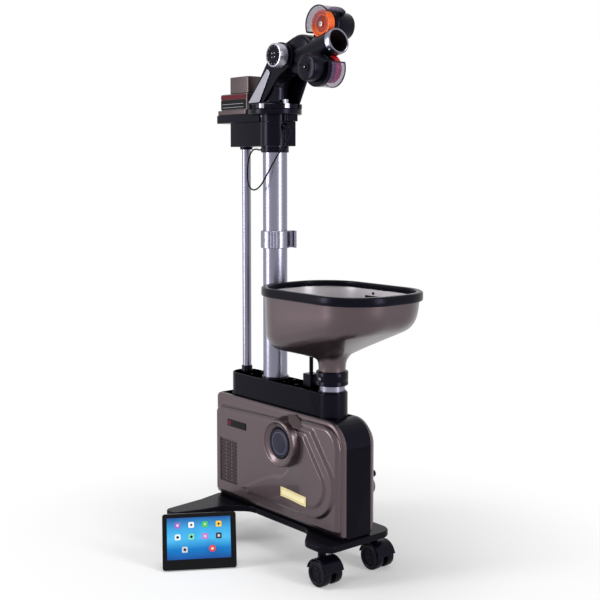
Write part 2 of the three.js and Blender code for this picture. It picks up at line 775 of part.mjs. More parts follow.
// Inside the core: feed wheel in its drum, its motor, the ball channel and the electrics
function feedRotor() {
  const shape = new THREE.Shape();
  const step = (2 * Math.PI) / drum.pockets;
  const { rotorRadius, pocketCentre, pocketRadius } = drum;
  const reach = (rotorRadius ** 2 + pocketCentre ** 2 - pocketRadius ** 2) / (2 * rotorRadius * pocketCentre);
  const mouth = Math.acos(reach);
  for (let i = 0; i < drum.pockets; i += 1) {
    const middle = i * step;
    const centre = new THREE.Vector2(pocketCentre, 0).rotateAround(new THREE.Vector2(), middle);
    const from = new THREE.Vector2(rotorRadius, 0).rotateAround(new THREE.Vector2(), middle - mouth).sub(centre).angle();
    const to = new THREE.Vector2(rotorRadius, 0).rotateAround(new THREE.Vector2(), middle + mouth).sub(centre).angle();
    shape.absarc(centre.x, centre.y, pocketRadius, from, to, true);
    shape.absarc(0, 0, rotorRadius, middle + mouth, middle + step - mouth, false);
  }
  const star = across(shape, -drum.rotorHalfDepth, drum.rotorHalfDepth, 0, fine.arc);
  const shaftHole = lieAlongY(rod(drum.shaftRadius + gap, -drum.rotorHalfDepth - overrun, drum.rotorHalfDepth + overrun));
  return cut(star, shaftHole).translate(drum.x, 0, drum.z);
}
piece("feed_rotor", feedRotor(), white);
piece(
  "feed_motor",
  join(
    lieAlongY(rod(drum.motorRadius, -core.halfWidth - drum.motorDepth, -core.webFrom - core.webThickness - gap)),
    lieAlongY(rod(drum.shaftRadius, -core.halfWidth, drum.rotorHalfDepth, fine.small)),
  ).translate(drum.x, 0, drum.z),
  bareSteel,
);

function ballPath(radius, extra) {
  const { bendRadius, start, levelZ } = channel;
  const path = new THREE.CurvePath();
  const bendZ = levelZ + bendRadius;
  path.add(new THREE.LineCurve3(new THREE.Vector3(start + extra, 0, levelZ), new THREE.Vector3(bendRadius, 0, levelZ)));
  path.add(new THREE.QuadraticBezierCurve3(new THREE.Vector3(bendRadius, 0, levelZ), new THREE.Vector3(0, 0, levelZ), new THREE.Vector3(0, 0, bendZ)));
  const topZ = core.top - core.wall - gap + extra;
  path.add(new THREE.LineCurve3(new THREE.Vector3(0, 0, bendZ), new THREE.Vector3(0, 0, topZ)));
  return new THREE.ExtrudeGeometry(disc(radius), {
    steps: channel.steps * 2,
    curveSegments: fine.pipe,
    extrudePath: path,
  });
}
function ballChannel() {
  const { housingRadius, housingWall, housingHalfDepth } = drum;
  const drumShell = lieAlongY(rod(housingRadius + housingWall, -housingHalfDepth, housingHalfDepth, fine.full)).translate(drum.x, 0, drum.z);
  const drumRoom = lieAlongY(rod(housingRadius, -housingHalfDepth + housingWall, housingHalfDepth + overrun, fine.full)).translate(drum.x, 0, drum.z);
  const inletTop = core.top - core.wall - gap;
  const feed = rod(channel.outerRadius, drum.z, inletTop).translate(hopper.tubeX, 0, 0);
  const feedBore = rod(channel.boreRadius, drum.z, inletTop + overrun).translate(hopper.tubeX, 0, 0);
  const shaftRoom = lieAlongY(rod(drum.shaftRadius + gap, -housingHalfDepth - overrun, 0, fine.small)).translate(drum.x, 0, drum.z);
  return cut(join(drumShell, feed, ballPath(channel.outerRadius, 0)), drumRoom, feedBore, shaftRoom, ballPath(channel.boreRadius, overrun));
}
piece("ball_channel", ballChannel(), white);

piece(
  "power_supply",
  across(rectangle(supply.left, supply.bottom, supply.right, supply.top, supply.cornerRound), supply.near, core.webFrom - gap),
  bareSteel,
);

function controlBoard() {
  const { left, right, bottom, top, face, thickness, partHeight, chipSide, postRadius, postInset } = board;
  const panel = brick(left, face, bottom, right, face + thickness, top);
  const post = (x, z) => lieAlongY(rod(postRadius, -core.webFrom + gap, -face - thickness / 2, fine.small)).translate(x, 0, z);
  const midX = (left + right) / 2;
  const midZ = (bottom + top) / 2;
  const chip = brick(midX - chipSide, face - partHeight, midZ - chipSide / 2, midX, face + thickness / 2, midZ + chipSide / 2);
  return join(
    panel,
    chip,
    post(left + postInset, bottom + postInset),
    post(right - postInset, bottom + postInset),
    post(left + postInset, top - postInset),
    post(right - postInset, top - postInset),
  );
}
piece("control_board", controlBoard(), green);

// Back of the core: one module holds the power inlet and the seat of the rocker switch
const moduleRear = core.rear - gap;
function powerInlet() {
  const { z, width, height, depth, flange, flangeWidth, flangeHeight, wall, pinRadius, pinPitch, pinLength } = inlet;
  const can = rectangle(-width / 2, -height / 2, width / 2, height / 2, wall);
  const room = rectangle(-width / 2 + wall, -height / 2 + wall, width / 2 - wall, height / 2 - wall, wall / 2);
  const pin = (y) => rod(pinRadius, 0, pinLength, fine.small).rotateY(-Math.PI / 2).translate(moduleRear + depth - wall, y, z);
  const seatTop = rocker.z + rocker.height / 2 + rocker.seatWall + flange;
  const flangeShape = rectangle(-flangeWidth / 2, z - flangeHeight / 2, flangeWidth / 2, seatTop, wall);
  const { seatWall, seatDepth, pinInset } = rocker;
  const seat = (grow) =>
    rectangle(
      -rocker.width / 2 - grow,
      rocker.z - rocker.height / 2 - grow,
      rocker.width / 2 + grow,
      rocker.z + rocker.height / 2 + grow,
    );
  const hinge = lieAlongY(rod(rocker.pinRadius, -rocker.width / 2 - seatWall, rocker.width / 2 + seatWall, fine.small));
  return join(
    cut(
      join(
        along(flangeShape, moduleRear - flange, moduleRear),
        along(can, moduleRear - flange, moduleRear + depth).translate(0, 0, z),
        along(seat(seatWall), moduleRear - flange, moduleRear + seatDepth),
      ),
      along(room, moduleRear - flange - overrun, moduleRear + depth - wall).translate(0, 0, z),
      along(seat(gap), moduleRear - flange - overrun, moduleRear + seatDepth - seatWall),
    ),
    pin(-pinPitch),
    pin(0),
    pin(pinPitch),
    hinge.translate(moduleRear + pinInset, 0, rocker.z),
  );
}
piece("power_inlet", powerInlet(), black);
function rockerCap() {
  const { width, height, depth, crown, pinInset, pinRadius } = rocker;
  const rear = moduleRear;
  const half = (height - crown) / 2;
  const shape = new THREE.Shape();
  shape.moveTo(rear - crown, -half);
  shape.lineTo(rear + pinInset, -half);
  shape.lineTo(rear + pinInset + depth / 2 - crown / 2, -crown);
  shape.lineTo(rear + pinInset + depth / 2 - crown / 2, crown);
  shape.lineTo(rear + pinInset, half);
  shape.lineTo(rear - crown, half);
  shape.quadraticCurveTo(rear - crown / 2, 0, rear - crown, -half);
  return cut(
    across(shape, -width / 2, width / 2),
    lieAlongY(rod(pinRadius + gap, -width, width, fine.small)).translate(rear + pinInset, 0, 0),
  ).translate(0, 0, rocker.z);
}
piece("power_switch", rockerCap(), black);

// Deck: a long rounded block that holds the feet of the tubes
function deckHousing() {
  const body = rise(stadium(cableTube.x, hopper.tubeX, deck.halfWidth), deck.bottom, deck.top, deck.edgeRound, fine.arc);
  const hole = (x, radius, from) => rod(radius, from, deck.top + overrun).translate(x, 0, 0);
  return cut(
    body,
    hole(0, tower.radius + gap, deck.bottom - overrun),
    hole(hopper.tubeX, tower.radius + gap, deck.bottom - overrun),
    hole(cableTube.x, cableTube.radius + gap, cableTube.bottom - gap),
    hole(cableTube.x, cableTube.bore, deck.bottom - overrun),
  );
}
piece("deck_housing", deckHousing(), black);
piece("tower_tube", pipe(tower.radius, tower.bore, tower.bottom, tower.top), silver);
piece("hopper_tube", pipe(tower.radius, tower.bore, tower.bottom, hopper.tubeTop), silver).position.x = hopper.tubeX;

const cableTubeTop = block.bottom + cableTube.socket;
piece("cable_tube", pipe(cableTube.radius, cableTube.bore, cableTube.bottom, cableTubeTop - gap, cableTube.sides), silver).position.x = cableTube.x;
const footTop = deck.top + gap + cableTube.footHeight;
piece(
  "cable_tube_foot",
  turned(
    [
      [cableTube.radius + gap, deck.top + gap],
      [cableTube.footRadius, deck.top + gap],
      [cableTube.footRadius, footTop - deck.edgeRound],
      [cableTube.footRadius - deck.edgeRound / 2, footTop],
      [cableTube.radius + gap, footTop],
    ],
    fine.tube,
  ),
  black,
).position.x = cableTube.x;
piece(
  "cable_tube_cap",
  pipe(cableTube.capRadius, cableTube.radius + gap, block.bottom - gap - cableTube.capHeight, block.bottom - gap),
  black,
).position.x = cableTube.x;

// A sprung clip round the tower, with an open hook for a cable
function towerClip() {
  const { height, ringRadius, hookAngle, hookCentre, hookRadius, hookBore, mouth, ribs, ribWidth, ribHeight, ribStart, ribStep } = clip;
  const hook = rod(hookRadius, 0, height).translate(hookCentre, 0, 0);
  const hookRoom = rod(hookBore, -overrun, height + overrun).translate(hookCentre, 0, 0);
  const mouthCut = brick(hookCentre - mouth / 2, -hookRadius - ringRadius, -overrun, hookCentre + mouth / 2, 0, height + overrun);
  const arm = cut(hook, hookRoom, mouthCut).rotateZ(hookAngle);
  const parts = [rod(ringRadius, 0, height, fine.full), arm];
  for (let i = 0; i < ribs; i += 1) {
    const rib = brick(ringRadius - ribHeight, -ribWidth / 2, 0, ringRadius + ribHeight, ribWidth / 2, height);
    parts.push(rib.rotateZ(ribStart + i * ribStep));
  }
  const room = rod(tower.radius + gap, -overrun, height + overrun);
  return cut(join(...parts), room).translate(0, 0, clip.bottom);
}
piece("tower_clip", towerClip(), silver);

function collarUnderBlock() {
  const { radius, bottom, grommetRadius, grommetLength, grommetAngle, grommetZ, round } = towerCollar;
  const top = block.bottom - gap;
  const ring = turned(
    [
      [tower.radius + gap, bottom],
      [radius - round, bottom],
      [radius, bottom + round],
      [radius, top],
      [tower.radius + gap, top],
    ],
    fine.full,
  );
  const grommet = rod(grommetRadius, radius - round * 2, radius + grommetLength, fine.small)
    .rotateY(Math.PI / 2)
    .rotateZ(grommetAngle)
    .translate(0, 0, grommetZ);
  return join(ring, grommet);
}
piece("tower_collar", collarUnderBlock(), black);

// Hopper: a lofted bowl whose sloping floor leads to the neck
function hopperRing(inset, level) {
  const { halfLength, halfWidth, corner, sidePoints, endPoints, cornerPoints, centreX } = hopper;
  const spots = [];
  const corners = [[1, 1, 0], [-1, 1, 1], [-1, -1, 2], [1, -1, 3]];
  for (const [signX, signY, quarter] of corners) {
    const centre = [signX * (halfLength - corner), signY * (halfWidth - corner)];
    for (let i = 0; i <= cornerPoints; i += 1) {
      const angle = ((quarter + i / cornerPoints) * Math.PI) / 2;
      spots.push([centre[0] + (corner - inset) * Math.cos(angle), centre[1] + (corner - inset) * Math.sin(angle)]);
    }
    const straight = quarter % 2 ? endPoints : sidePoints;
    const side = quarter % 2 ? [signX * (halfLength - inset), 1] : [1, signY * (halfWidth - inset)];
    for (let i = 1; i <= straight; i += 1) {
      const share = 1 - (2 * i) / (straight + 1);
      if (quarter % 2) spots.push([side[0], share * (halfWidth - corner) * signY]);
      else spots.push([share * (halfLength - corner) * signX, side[1]]);
    }
  }
  return spots.map(([x, y]) => new THREE.Vector3(centreX + x, y, level(centreX + x)));
}
function edgeHeight(x) {
  const share = THREE.MathUtils.clamp((x - hopper.riseFrom) / (hopper.riseTo - hopper.riseFrom), 0, 1);
  return THREE.MathUtils.lerp(hopper.rearEdgeZ, hopper.frontEdgeZ, share ** hopper.risePower);
}
function neckRing(radius, z, tilt = 0) {
  const { halfLength, halfWidth, centreX, tubeX } = hopper;
  return hopperRing(0, () => z).map((spot) => {
    const angle = Math.atan2(spot.y / halfWidth, (spot.x - centreX) / halfLength);
    return new THREE.Vector3(tubeX + radius * Math.cos(angle), radius * Math.sin(angle), z + tilt * Math.cos(angle));
  });
}
function bowlSurface(thinner) {
  const h = hopper;
  const floorRing = hopperRing(h.floorInset + thinner, (x) => edgeHeight(x) - h.floorDrop + thinner);
  const flare = neckRing(h.flareRadius - thinner, h.flareZ + thinner, h.flareTilt);
  const middle = floorRing.map((spot, i) => spot.clone().add(flare[i]).divideScalar(2));
  const neck = thinner ? h.neckBore : h.neckRadius;
  return [
    hopperRing(thinner, () => h.top),
    hopperRing(h.skirtInset + thinner, () => h.top - h.skirtDrop),
    hopperRing(h.lowInset + thinner, (x) => edgeHeight(x) + h.edgeRise),
    hopperRing(h.edgeInset + thinner, (x) => edgeHeight(x) + h.edgeRiseLow + thinner / 2),
    hopperRing(h.turnInset + thinner, (x) => edgeHeight(x) + thinner),
    floorRing,
    middle,
    flare,
    neckRing(h.throatRadius - thinner, h.throatZ + thinner / 2),
    neckRing(neck, h.straightZ),
    neckRing(neck, h.tubeTop + h.collarLip + 4 * gap),
  ];
}
function ringBody(rings) {
  const count = rings[0].length;
  const index = [];
  rings.forEach((_, ring) => {
    const next = (ring + 1) % rings.length;
    for (let i = 0; i < count; i += 1) {
      const a = ring * count + i;
      const b = ring * count + ((i + 1) % count);
      const c = next * count + i;
      const d = next * count + ((i + 1) % count);
      index.push(a, c, b, b, c, d);
    }
  });
  const geometry = new THREE.BufferGeometry().setFromPoints(rings.flat());
  geometry.setIndex(index);
  return geometry;
}
function hopperBowl() {
  const wall = ringBody([...bowlSurface(0), ...bowlSurface(hopper.wall).reverse()]);
  const underside = hopper.floorZ - stay.bossDrop;
  const seat = rod(stay.bossRadius, underside, hopper.floorZ + hopper.wall, fine.small);
  const rodHole = rod(stay.radius + gap, underside - overrun, underside + stay.bossDepth, fine.small);
  return cut(join(wall, seat.translate(stay.x, 0, 0)), rodHole.translate(stay.x, 0, 0));
}
piece("hopper_bowl", hopperBowl(), bronze);

function hopperRim() {
  const { wall, top, rimRise, rimDepth, rimOut, rimIn, rimRound } = hopper;
  const slot = top + gap;
  const rimTop = top + rimRise;
  const rimBottom = rimTop - rimDepth;
  const section = [
    [-rimOut, rimBottom + rimRound],
    [-rimOut, rimTop - rimRound],
    [-rimOut + rimRound, rimTop],
    [rimIn - rimRound, rimTop],
    [rimIn, rimTop - rimRound],
    [rimIn, slot - hopper.skirtDrop / 2],
    [wall + hopper.skirtInset, slot - hopper.skirtDrop / 2],
    [wall + 2 * gap, slot],
    [-gap, slot],
    [-gap, rimBottom],
    [-rimOut + rimRound, rimBottom],
  ];
  return ringBody(section.map(([inset, z]) => hopperRing(inset, () => z)).reverse());
}
piece("hopper_rim", hopperRim(), rubber);

function hopperCollar() {
  const { collarBottom, collarTop, collarRadius, collarLip, neckRadius, neckBore, tubeTop } = hopper;
  const ledge = tubeTop + gap;
  const round = collarLip;
  return turned(
    [
      [tower.radius + gap, collarBottom],
      [collarRadius - round, collarBottom],
      [collarRadius, collarBottom + round],
      [collarRadius, collarTop - round],
      [collarRadius - round, collarTop],
      [neckRadius + 3 * gap, collarTop],
      [neckRadius + 3 * gap, ledge + collarLip],
      [neckBore, ledge + collarLip],
      [neckBore, ledge],
      [tower.radius + gap, ledge],
    ],
    fine.tube,
  ).translate(hopper.tubeX, 0, 0);
}
piece("hopper_collar", hopperCollar(), black);

function staySocket() {
  const half = stay.socketSide / 2;
  const bottom = deck.top + gap;
  const bodyOfSocket = rise(rectangle(stay.x - half, -half, stay.x + half, half, stay.round * 2), bottom, bottom + stay.socketHeight, stay.round, 2);
  const hole = rod(stay.radius + gap, bottom + stay.socketHeight - stay.socketDepth, bottom + stay.socketHeight + overrun, fine.small);
  return cut(bodyOfSocket, hole.translate(stay.x, 0, 0));
}
piece("stay_socket", staySocket(), black);
const stayLow = deck.top + gap + stay.socketHeight - stay.socketDepth + gap;
const stayHigh = hopper.floorZ - stay.bossDrop + stay.bossDepth - gap;
piece("stay_rod", rod(stay.radius, stayLow, stayHigh, fine.small).translate(stay.x, 0, 0), bareSteel);

// Head block on the tower, with the swing motor in it
const pitchRadius = (teeth) => (swing.tooth * teeth) / 2;
const pinionX = -(pitchRadius(swing.gearTeeth) + pitchRadius(swing.pinionTeeth) + gap);
function headBlock() {
  const { rear, front, halfWidth, nearFront, bottom, top, bossRadius, round, motorDepth } = block;
  const outlineOfBlock = roundedPath([
    [rear, -halfWidth, round * 2],
    [0, -halfWidth],
    [0, nearFront],
    [front, nearFront, round * 2],
    [front, halfWidth, round * 2],
    [rear, halfWidth, round * 2],
  ]);
  return cut(
    join(rise(outlineOfBlock, bottom, top, round, 2), rod(bossRadius, bottom, top, fine.full)),
    rod(tower.radius + gap, bottom - overrun, top + overrun),
    rod(cableTube.radius + gap, bottom - overrun, cableTubeTop, fine.tube).translate(cableTube.x, 0, 0),
    rod(swing.motorRadius + gap, top - motorDepth - gap, top + overrun).translate(pinionX, 0, 0),
  );
}
piece("head_block", headBlock(), black);
piece(
  "swing_motor",
  join(
    rod(swing.motorRadius, block.top - block.motorDepth, block.top),
    rod(swing.shaftRadius, block.top - overrun, block.top + plate.thickness + swing.gearHeight, fine.small),
  ).translate(pinionX, 0, 0),
  bareSteel,
);
const plateBottom = block.top + gap;
const plateTop = plateBottom + plate.thickness;

// Spur gears with straight-sided teeth, a tooth or a gap facing +X
function gearShape(teeth, firstTooth) {
  const radius = pitchRadius(teeth);
  const step = (2 * Math.PI) / teeth;
  const tip = radius + swing.addendumShare * swing.tooth;
  const root = radius - swing.dedendumShare * swing.tooth;
  const stations = [
    [root, -swing.rootShare / 2],
    [tip, -swing.tipShare / 2],
    [tip, swing.tipShare / 2],
    [root, swing.rootShare / 2],
  ];
  const points = [];
  for (let i = 0; i < teeth; i += 1) {
    for (const [reach, share] of stations) {
      const angle = (i + firstTooth + share) * step;
      points.push(new THREE.Vector2(reach * Math.cos(angle), reach * Math.sin(angle)));
    }
  }
  return new THREE.Shape(points);
}
const gearBottom = plateTop + gap;
const gearTop = gearBottom + swing.gearHeight;

// The plate on the block: slim in front, with a round well that hides the ring gear
function swingPlate() {
  const { rear, step, front, halfWidth, round, neckRadius, wellRadius, wellWall, wellDrop } = plate;
  const outlineOfPlate = roundedPath([
    [rear, -halfWidth, round * 2],
    [step, -halfWidth],
    [step, block.nearFront],
    [front, block.nearFront, round * 2],
    [front, halfWidth, round * 2],
    [rear, halfWidth, round * 2],
  ]);
  const wallTop = gearTop - gap;
  const well = turned([
    [0, plateTop - wellDrop],
    [wellRadius, plateTop - wellDrop],
    [wellRadius, wallTop],
    [wellRadius - wellWall, wallTop],
    [wellRadius - wellWall, plateTop],
    [0, plateTop],
  ]);
  const gate = pitchRadius(swing.pinionTeeth) + swing.tooth;
  return cut(
    join(rise(outlineOfPlate, plateBottom, plateTop, round, 2), rod(neckRadius, plateBottom, plateTop, fine.full), well),
    rod(tower.radius + gap, plateBottom - overrun, plateTop + overrun),
    rod(swing.shaftRadius + gap, plateBottom - overrun, plateTop + overrun, fine.small).translate(pinionX, 0, 0),
    brick(-wellRadius - overrun, -gate, plateTop, 0, gate, wallTop + overrun),
  );
}
piece("swing_plate", swingPlate(), black);
piece(
  "swing_pinion",
  cut(
    rise(gearShape(swing.pinionTeeth, 0.5), gearBottom, gearTop),
    rod(swing.shaftRadius + gap, gearBottom - overrun, gearTop + overrun, fine.small),
  ).translate(pinionX, 0, 0),
  white,
);

// Control box on the rear of the plate, with a raised lid
function controlCase() {
  const { rear, front, halfWidth, height, wall, flangeRear, flangeHalfWidth, flangeHeight, flangeRound, round } = box;
  const bottom = plateTop + gap;
  const flangeTop = bottom + flangeHeight;
  const pinionRoom = pitchRadius(swing.pinionTeeth) + 2 * swing.tooth;
  return cut(
    join(
      rise(rectangle(flangeRear, -flangeHalfWidth, front, flangeHalfWidth, flangeRound * 2), bottom, flangeTop, flangeRound / 2, 2),
      rise(rectangle(rear, -halfWidth, front, halfWidth, round * 2), flangeTop - overrun - round, flangeTop + height, round, 2),
    ),
    brick(rear + wall, -halfWidth + wall, bottom - overrun, front - wall, halfWidth - wall, flangeTop + height - wall),
    rod(pinionRoom, bottom - overrun, gearTop + gap * 2).translate(pinionX, 0, 0),
  );
}
piece("control_case", controlCase(), bronze);
const lidBottom = plateTop + gap + box.flangeHeight + box.height + gap;
piece(
  "control_lid",
  rise(rectangle(box.lidRear, -box.lidHalfWidth, box.front, box.lidHalfWidth, box.round * 2), lidBottom, lidBottom + box.lidHeight, box.round, 2),
  bronze,
);

// Gland at the front of the block and the free cable that hangs from it
function cableGland() {
  const { y, z, radius, length, noseRadius, noseLength, droop } = gland;
  const bodyOfGland = turned(
    [[0, 0], [radius, 0], [radius, length], [noseRadius, length + noseLength / 2], [noseRadius, length + noseLength], [0, length + noseLength]],
    fine.small,
  );
  const start = block.front + gap;
  const turnedDown = bodyOfGland.translate(0, 0, -radius).rotateY(Math.PI / 2 + droop).translate(start, y, z);
  return cut(turnedDown, brick(start - radius * 4, y - radius * 4, z - radius * 4, start, y + radius * 4, z + radius * 4));
}
piece("cable_gland", cableGland(), black);
const cableCurve = new THREE.CatmullRomCurve3(cableRoute.map((spot) => new THREE.Vector3(...spot)));
piece(
  "head_cable",
  new THREE.ExtrudeGeometry(disc(cable.diameter / 2), {
    steps: cable.steps,
    curveSegments: cable.sides / 2,
    extrudePath: cableCurve,
  }),
  rubber,
);

// Turning head: everything here swings about the tower's axis
const turret = new THREE.Group();
robot.add(turret);
const diskTop = gearTop + turntable.thickness;
piece(
  "turntable",
  cut(
    join(
      rise(gearShape(swing.gearTeeth, 0), gearBottom, gearTop + overrun),
      turned(
        [
          [0, gearTop],
          [turntable.radius, gearTop],
          [turntable.radius, diskTop - turntable.round],
          [turntable.radius - turntable.round, diskTop],
          [0, diskTop],
        ],
        fine.full,
      ),
    ),
    rod(tower.radius + 2 * gap, gearBottom - overrun, tower.top + gap),
    rod(tower.bore, gearBottom - overrun, diskTop + overrun),
  ),
  black,
  turret,
);

const axisLine = (x) => pivot.z + housing.axisDrop / Math.cos(pivot.pitch) + (x - pivot.x) * Math.tan(pivot.pitch);
function elbowPath(radius, extra, endBack) {
  const turn = Math.PI / 2 - pivot.pitch;
  const { bendRadius } = elbow;
  const endX = bendRadius * (1 - Math.cos(turn));
  const bendZ = axisLine(endX) - bendRadius * Math.sin(turn);
  const path = new THREE.CurvePath();
  path.add(new THREE.LineCurve3(new THREE.Vector3(0, 0, diskTop + gap - extra), new THREE.Vector3(0, 0, bendZ)));
  const stepAngle = turn / elbow.steps;
  const spot = (i) => new THREE.Vector3(bendRadius * (1 - Math.cos(i * stepAngle)), 0, bendZ + bendRadius * Math.sin(i * stepAngle));
  for (let i = 0; i < elbow.steps; i += 1) path.add(new THREE.LineCurve3(spot(i), spot(i + 1)));
  const end = pivot.x - endBack;
  path.add(new THREE.LineCurve3(spot(elbow.steps), new THREE.Vector3(end, 0, axisLine(end))));
  return new THREE.ExtrudeGeometry(disc(radius), {
    steps: elbow.steps * 2,
    curveSegments: fine.pipe,
    extrudePath: path,
  });
}
function cheekPlate(front, kneeX, kneeZ) {
  const { rear, eyeRadius, inner, thickness, edgeRound, holeRadius } = cheek;
  const bottom = diskTop + gap;
  const reach = Math.hypot(pivot.x - rear, pivot.z - bottom);
  const lean = Math.atan2(pivot.z - bottom, pivot.x - rear);
  const touch = lean + Math.PI - Math.acos(eyeRadius / reach);
  const shape = new THREE.Shape();
  shape.moveTo(rear, bottom);
  shape.lineTo(front, bottom);
  shape.lineTo(kneeX, kneeZ);
  shape.absarc(pivot.x, pivot.z, eyeRadius, -Math.PI / 4, touch, false);
  shape.closePath();
  return cut(
    across(shape, inner, inner + thickness, edgeRound, fine.arc),
    lieAlongY(rod(holeRadius, -inner - thickness - overrun, -inner + overrun)).translate(pivot.x, 0, pivot.z),
  );
}
function headBracket() {
  const { flangeRadius, flangeThickness, jointRadius } = elbow;
  const bottom = diskTop + gap;
  const foot = rod(flangeRadius, bottom, bottom + flangeThickness, fine.full);
  const tie = brick(cheek.rear, -cheek.inner - overrun, bottom, cheek.front, cheek.inner + overrun, bottom + flangeThickness);
  return cut(
    join(
      cheekPlate(cheek.farFront, cheek.farKneeX, cheek.farKneeZ),
      mirrorY(cheekPlate(cheek.front, cheek.kneeX, cheek.kneeZ)),
      foot,
      tie,
      elbowPath(elbow.radius, 0, elbow.endBack),
    ),
    elbowPath(elbow.bore, overrun, 0),
    lieAlongY(rod(jointRadius, -cheek.inner, cheek.inner, fine.full)).translate(pivot.x, 0, pivot.z),
  );
}
piece("head_bracket", headBracket(), black, turret);

function sideGusset() {
  const { thickness, rearX, frontX, topFrontX, topFrontZ, topRearX, topRearZ, footRise, corner } = gusset;
  const bottom = diskTop + gap + footRise;
  const shape = roundedPath([[rearX, bottom, corner], [frontX, bottom, corner], [topFrontX, topFrontZ, corner], [topRearX, topRearZ, corner]]);
  const inner = cheek.inner + cheek.thickness + gap;
  return across(shape, inner, inner + thickness, 0, 2);
}
piece("far_gusset", sideGusset(), silver, turret);
piece("near_gusset", mirrorY(sideGusset()), silver, turret);

// Tilting head: its own frame has the pivot at the origin and +X along the throw
const head = new THREE.Group();
head.position.set(pivot.x, 0, pivot.z);
head.rotation.y = -pivot.pitch;
turret.add(head);
const topWheelZ = housing.axisDrop + throwWheel.halfGap + throwWheel.radius;
const bottomWheelZ = housing.axisDrop - throwWheel.halfGap - throwWheel.radius;

// From two distances to one side of the middle, the lower and the higher Y
function sideSpan(side, from, to) {
  return [from * side, to * side].sort((a, b) => a - b);
}
function sector(outer, inner, start, end) {
  const shape = new THREE.Shape();
  shape.absarc(0, 0, outer, start, end, false);
  shape.absarc(0, 0, inner, end, start, true);
  return shape;
}

// Open cup round the inner end of a motor, over the same arc as the wheel's guard
function motorCup(side, start, end) {
  const from = housing.mountFrom;
  const to = from + cup.depth;
  const slice = (outer, inner, near, far) => across(sector(outer, inner, start, end), ...sideSpan(side, near, far), 0, fine.arc);
  const rim = cup.radius - cup.wall / 2;
  return join(
    slice(cup.radius, cup.radius - cup.wall, from, to),
    slice(rim, cup.coreRadius, from, from + housing.mountThickness),
    slice(rim, cup.coreRadius, to - cup.wall, to),
  );
}

function throwHousing() {
  const h = housing;
  const alongTube = (radius, from, to) => rod(radius, from, to).rotateY(Math.PI / 2).translate(0, 0, h.axisDrop);
  const wheelRoom = (z) =>
    lieAlongY(rod(throwWheel.radius + throwWheel.clearance, -h.mountFrom, h.mountFrom, fine.full)).translate(throwWheel.along, 0, z);
  const mount = (z, side) => {
    const armZ = h.axisDrop + Math.sign(z - h.axisDrop) * h.armRadius;
    const [low, high] = sideSpan(side, h.mountFrom, h.mountFrom + h.mountThickness);
    const plateDisc = across(disc(h.mountRadius, throwWheel.along, z), low, high, 0, fine.arc);
    const arm = across(
      roundedPath([
        [h.humpX, armZ - h.armRadius],
        [throwWheel.along, Math.min(z, armZ) - h.armRadius],
        [throwWheel.along, Math.max(z, armZ) + h.armRadius / 2],
        [h.humpX, armZ + h.armRadius],
      ]),
      low,
      high,
    );
    return join(plateDisc, arm);
  };
  const motorRoom = (z, side) => {
    const [low, high] = sideSpan(-side, h.mountFrom + h.mountThickness, motor.nose + motor.length + overrun);
    return lieAlongY(rod(motor.radius + gap, low, high, fine.full)).translate(throwWheel.along, 0, z);
  };
  const shaftHole = (z) =>
    lieAlongY(rod(motor.shaftRadius + 3 * gap, -h.tubeRadius, h.tubeRadius, fine.small)).translate(throwWheel.along, 0, z);
  const humpAway = Math.hypot(h.humpX, h.humpZ);
  const tangent = Math.atan2(h.humpZ, h.humpX) + Math.acos((h.barrelRadius - h.humpRadius) / humpAway);
  const shoulder = roundedPath([
    [0, 0],
    [h.humpX, h.humpZ],
    [h.humpX + h.humpRadius * Math.cos(tangent), h.humpZ + h.humpRadius * Math.sin(tangent)],
    [h.barrelRadius * Math.cos(tangent), h.barrelRadius * Math.sin(tangent)],
  ]);
  const cheekFace = cheek.inner + cheek.thickness;
  return cut(
    join(
      lieAlongY(rod(h.barrelRadius, -h.barrelHalfDepth, h.barrelHalfDepth, fine.full)),
      lieAlongY(rod(h.trunnionRadius, gap - cheekFace, cheekFace - gap)),
      lieAlongY(rod(knob.studRadius, cheek.inner, cheekFace + knob.boreDepth)),
      across(disc(h.humpRadius, h.humpX, h.humpZ), -h.humpHalfDepth, h.humpHalfDepth, h.humpRound, fine.arc),
      across(shoulder, -h.humpHalfDepth, h.humpHalfDepth),
      alongTube(h.tubeRadius, 0, h.tubeEnd),
      mount(topWheelZ, 1),
      mount(bottomWheelZ, -1),
      motorCup(1, guard.topStart, guard.topEnd).translate(throwWheel.along, 0, topWheelZ),
      motorCup(-1, guard.bottomStart, guard.bottomEnd).translate(throwWheel.along, 0, bottomWheelZ),
    ),
    alongTube(h.tubeBore, -h.barrelRadius - overrun, h.tubeEnd + overrun),
    wheelRoom(topWheelZ),
    wheelRoom(bottomWheelZ),
    motorRoom(topWheelZ, 1),
    motorRoom(bottomWheelZ, -1),
    shaftHole(topWheelZ),
    shaftHole(bottomWheelZ),
  );
}
piece("throw_housing", throwHousing(), black, head);

function tiltKnob() {
  const { radius, depth, faceRadius, faceDrop, rimRound, studRadius, boreDepth, grips } = knob;
  const profile = [
    [studRadius + gap, 0],
    [radius - rimRound, 0],
    [radius, rimRound],
    [radius, depth - rimRound],
    [radius - rimRound, depth],
    [faceRadius, depth],
    [faceRadius, depth - faceDrop],
    [0, depth - faceDrop],
    [0, boreDepth + gap],
    [studRadius + gap, boreDepth + gap],
  ];
  const face = cheek.inner + cheek.thickness + gap;
  return lieAlongY(turned(profile, grips)).translate(0, -face, 0);
}
piece("tilt_knob", tiltKnob(), silver, head);

piece(
  "nozzle_ring",
  turned([
    [nozzle.bore, gap],
    [nozzle.radius, gap],
    [nozzle.radius, nozzle.length - nozzle.round],
    [nozzle.radius - nozzle.round, nozzle.length],
    [nozzle.bore, nozzle.length],
  ])
    .rotateY(Math.PI / 2)
    .translate(housing.tubeEnd, 0, housing.axisDrop),
  silver,
  head,
);

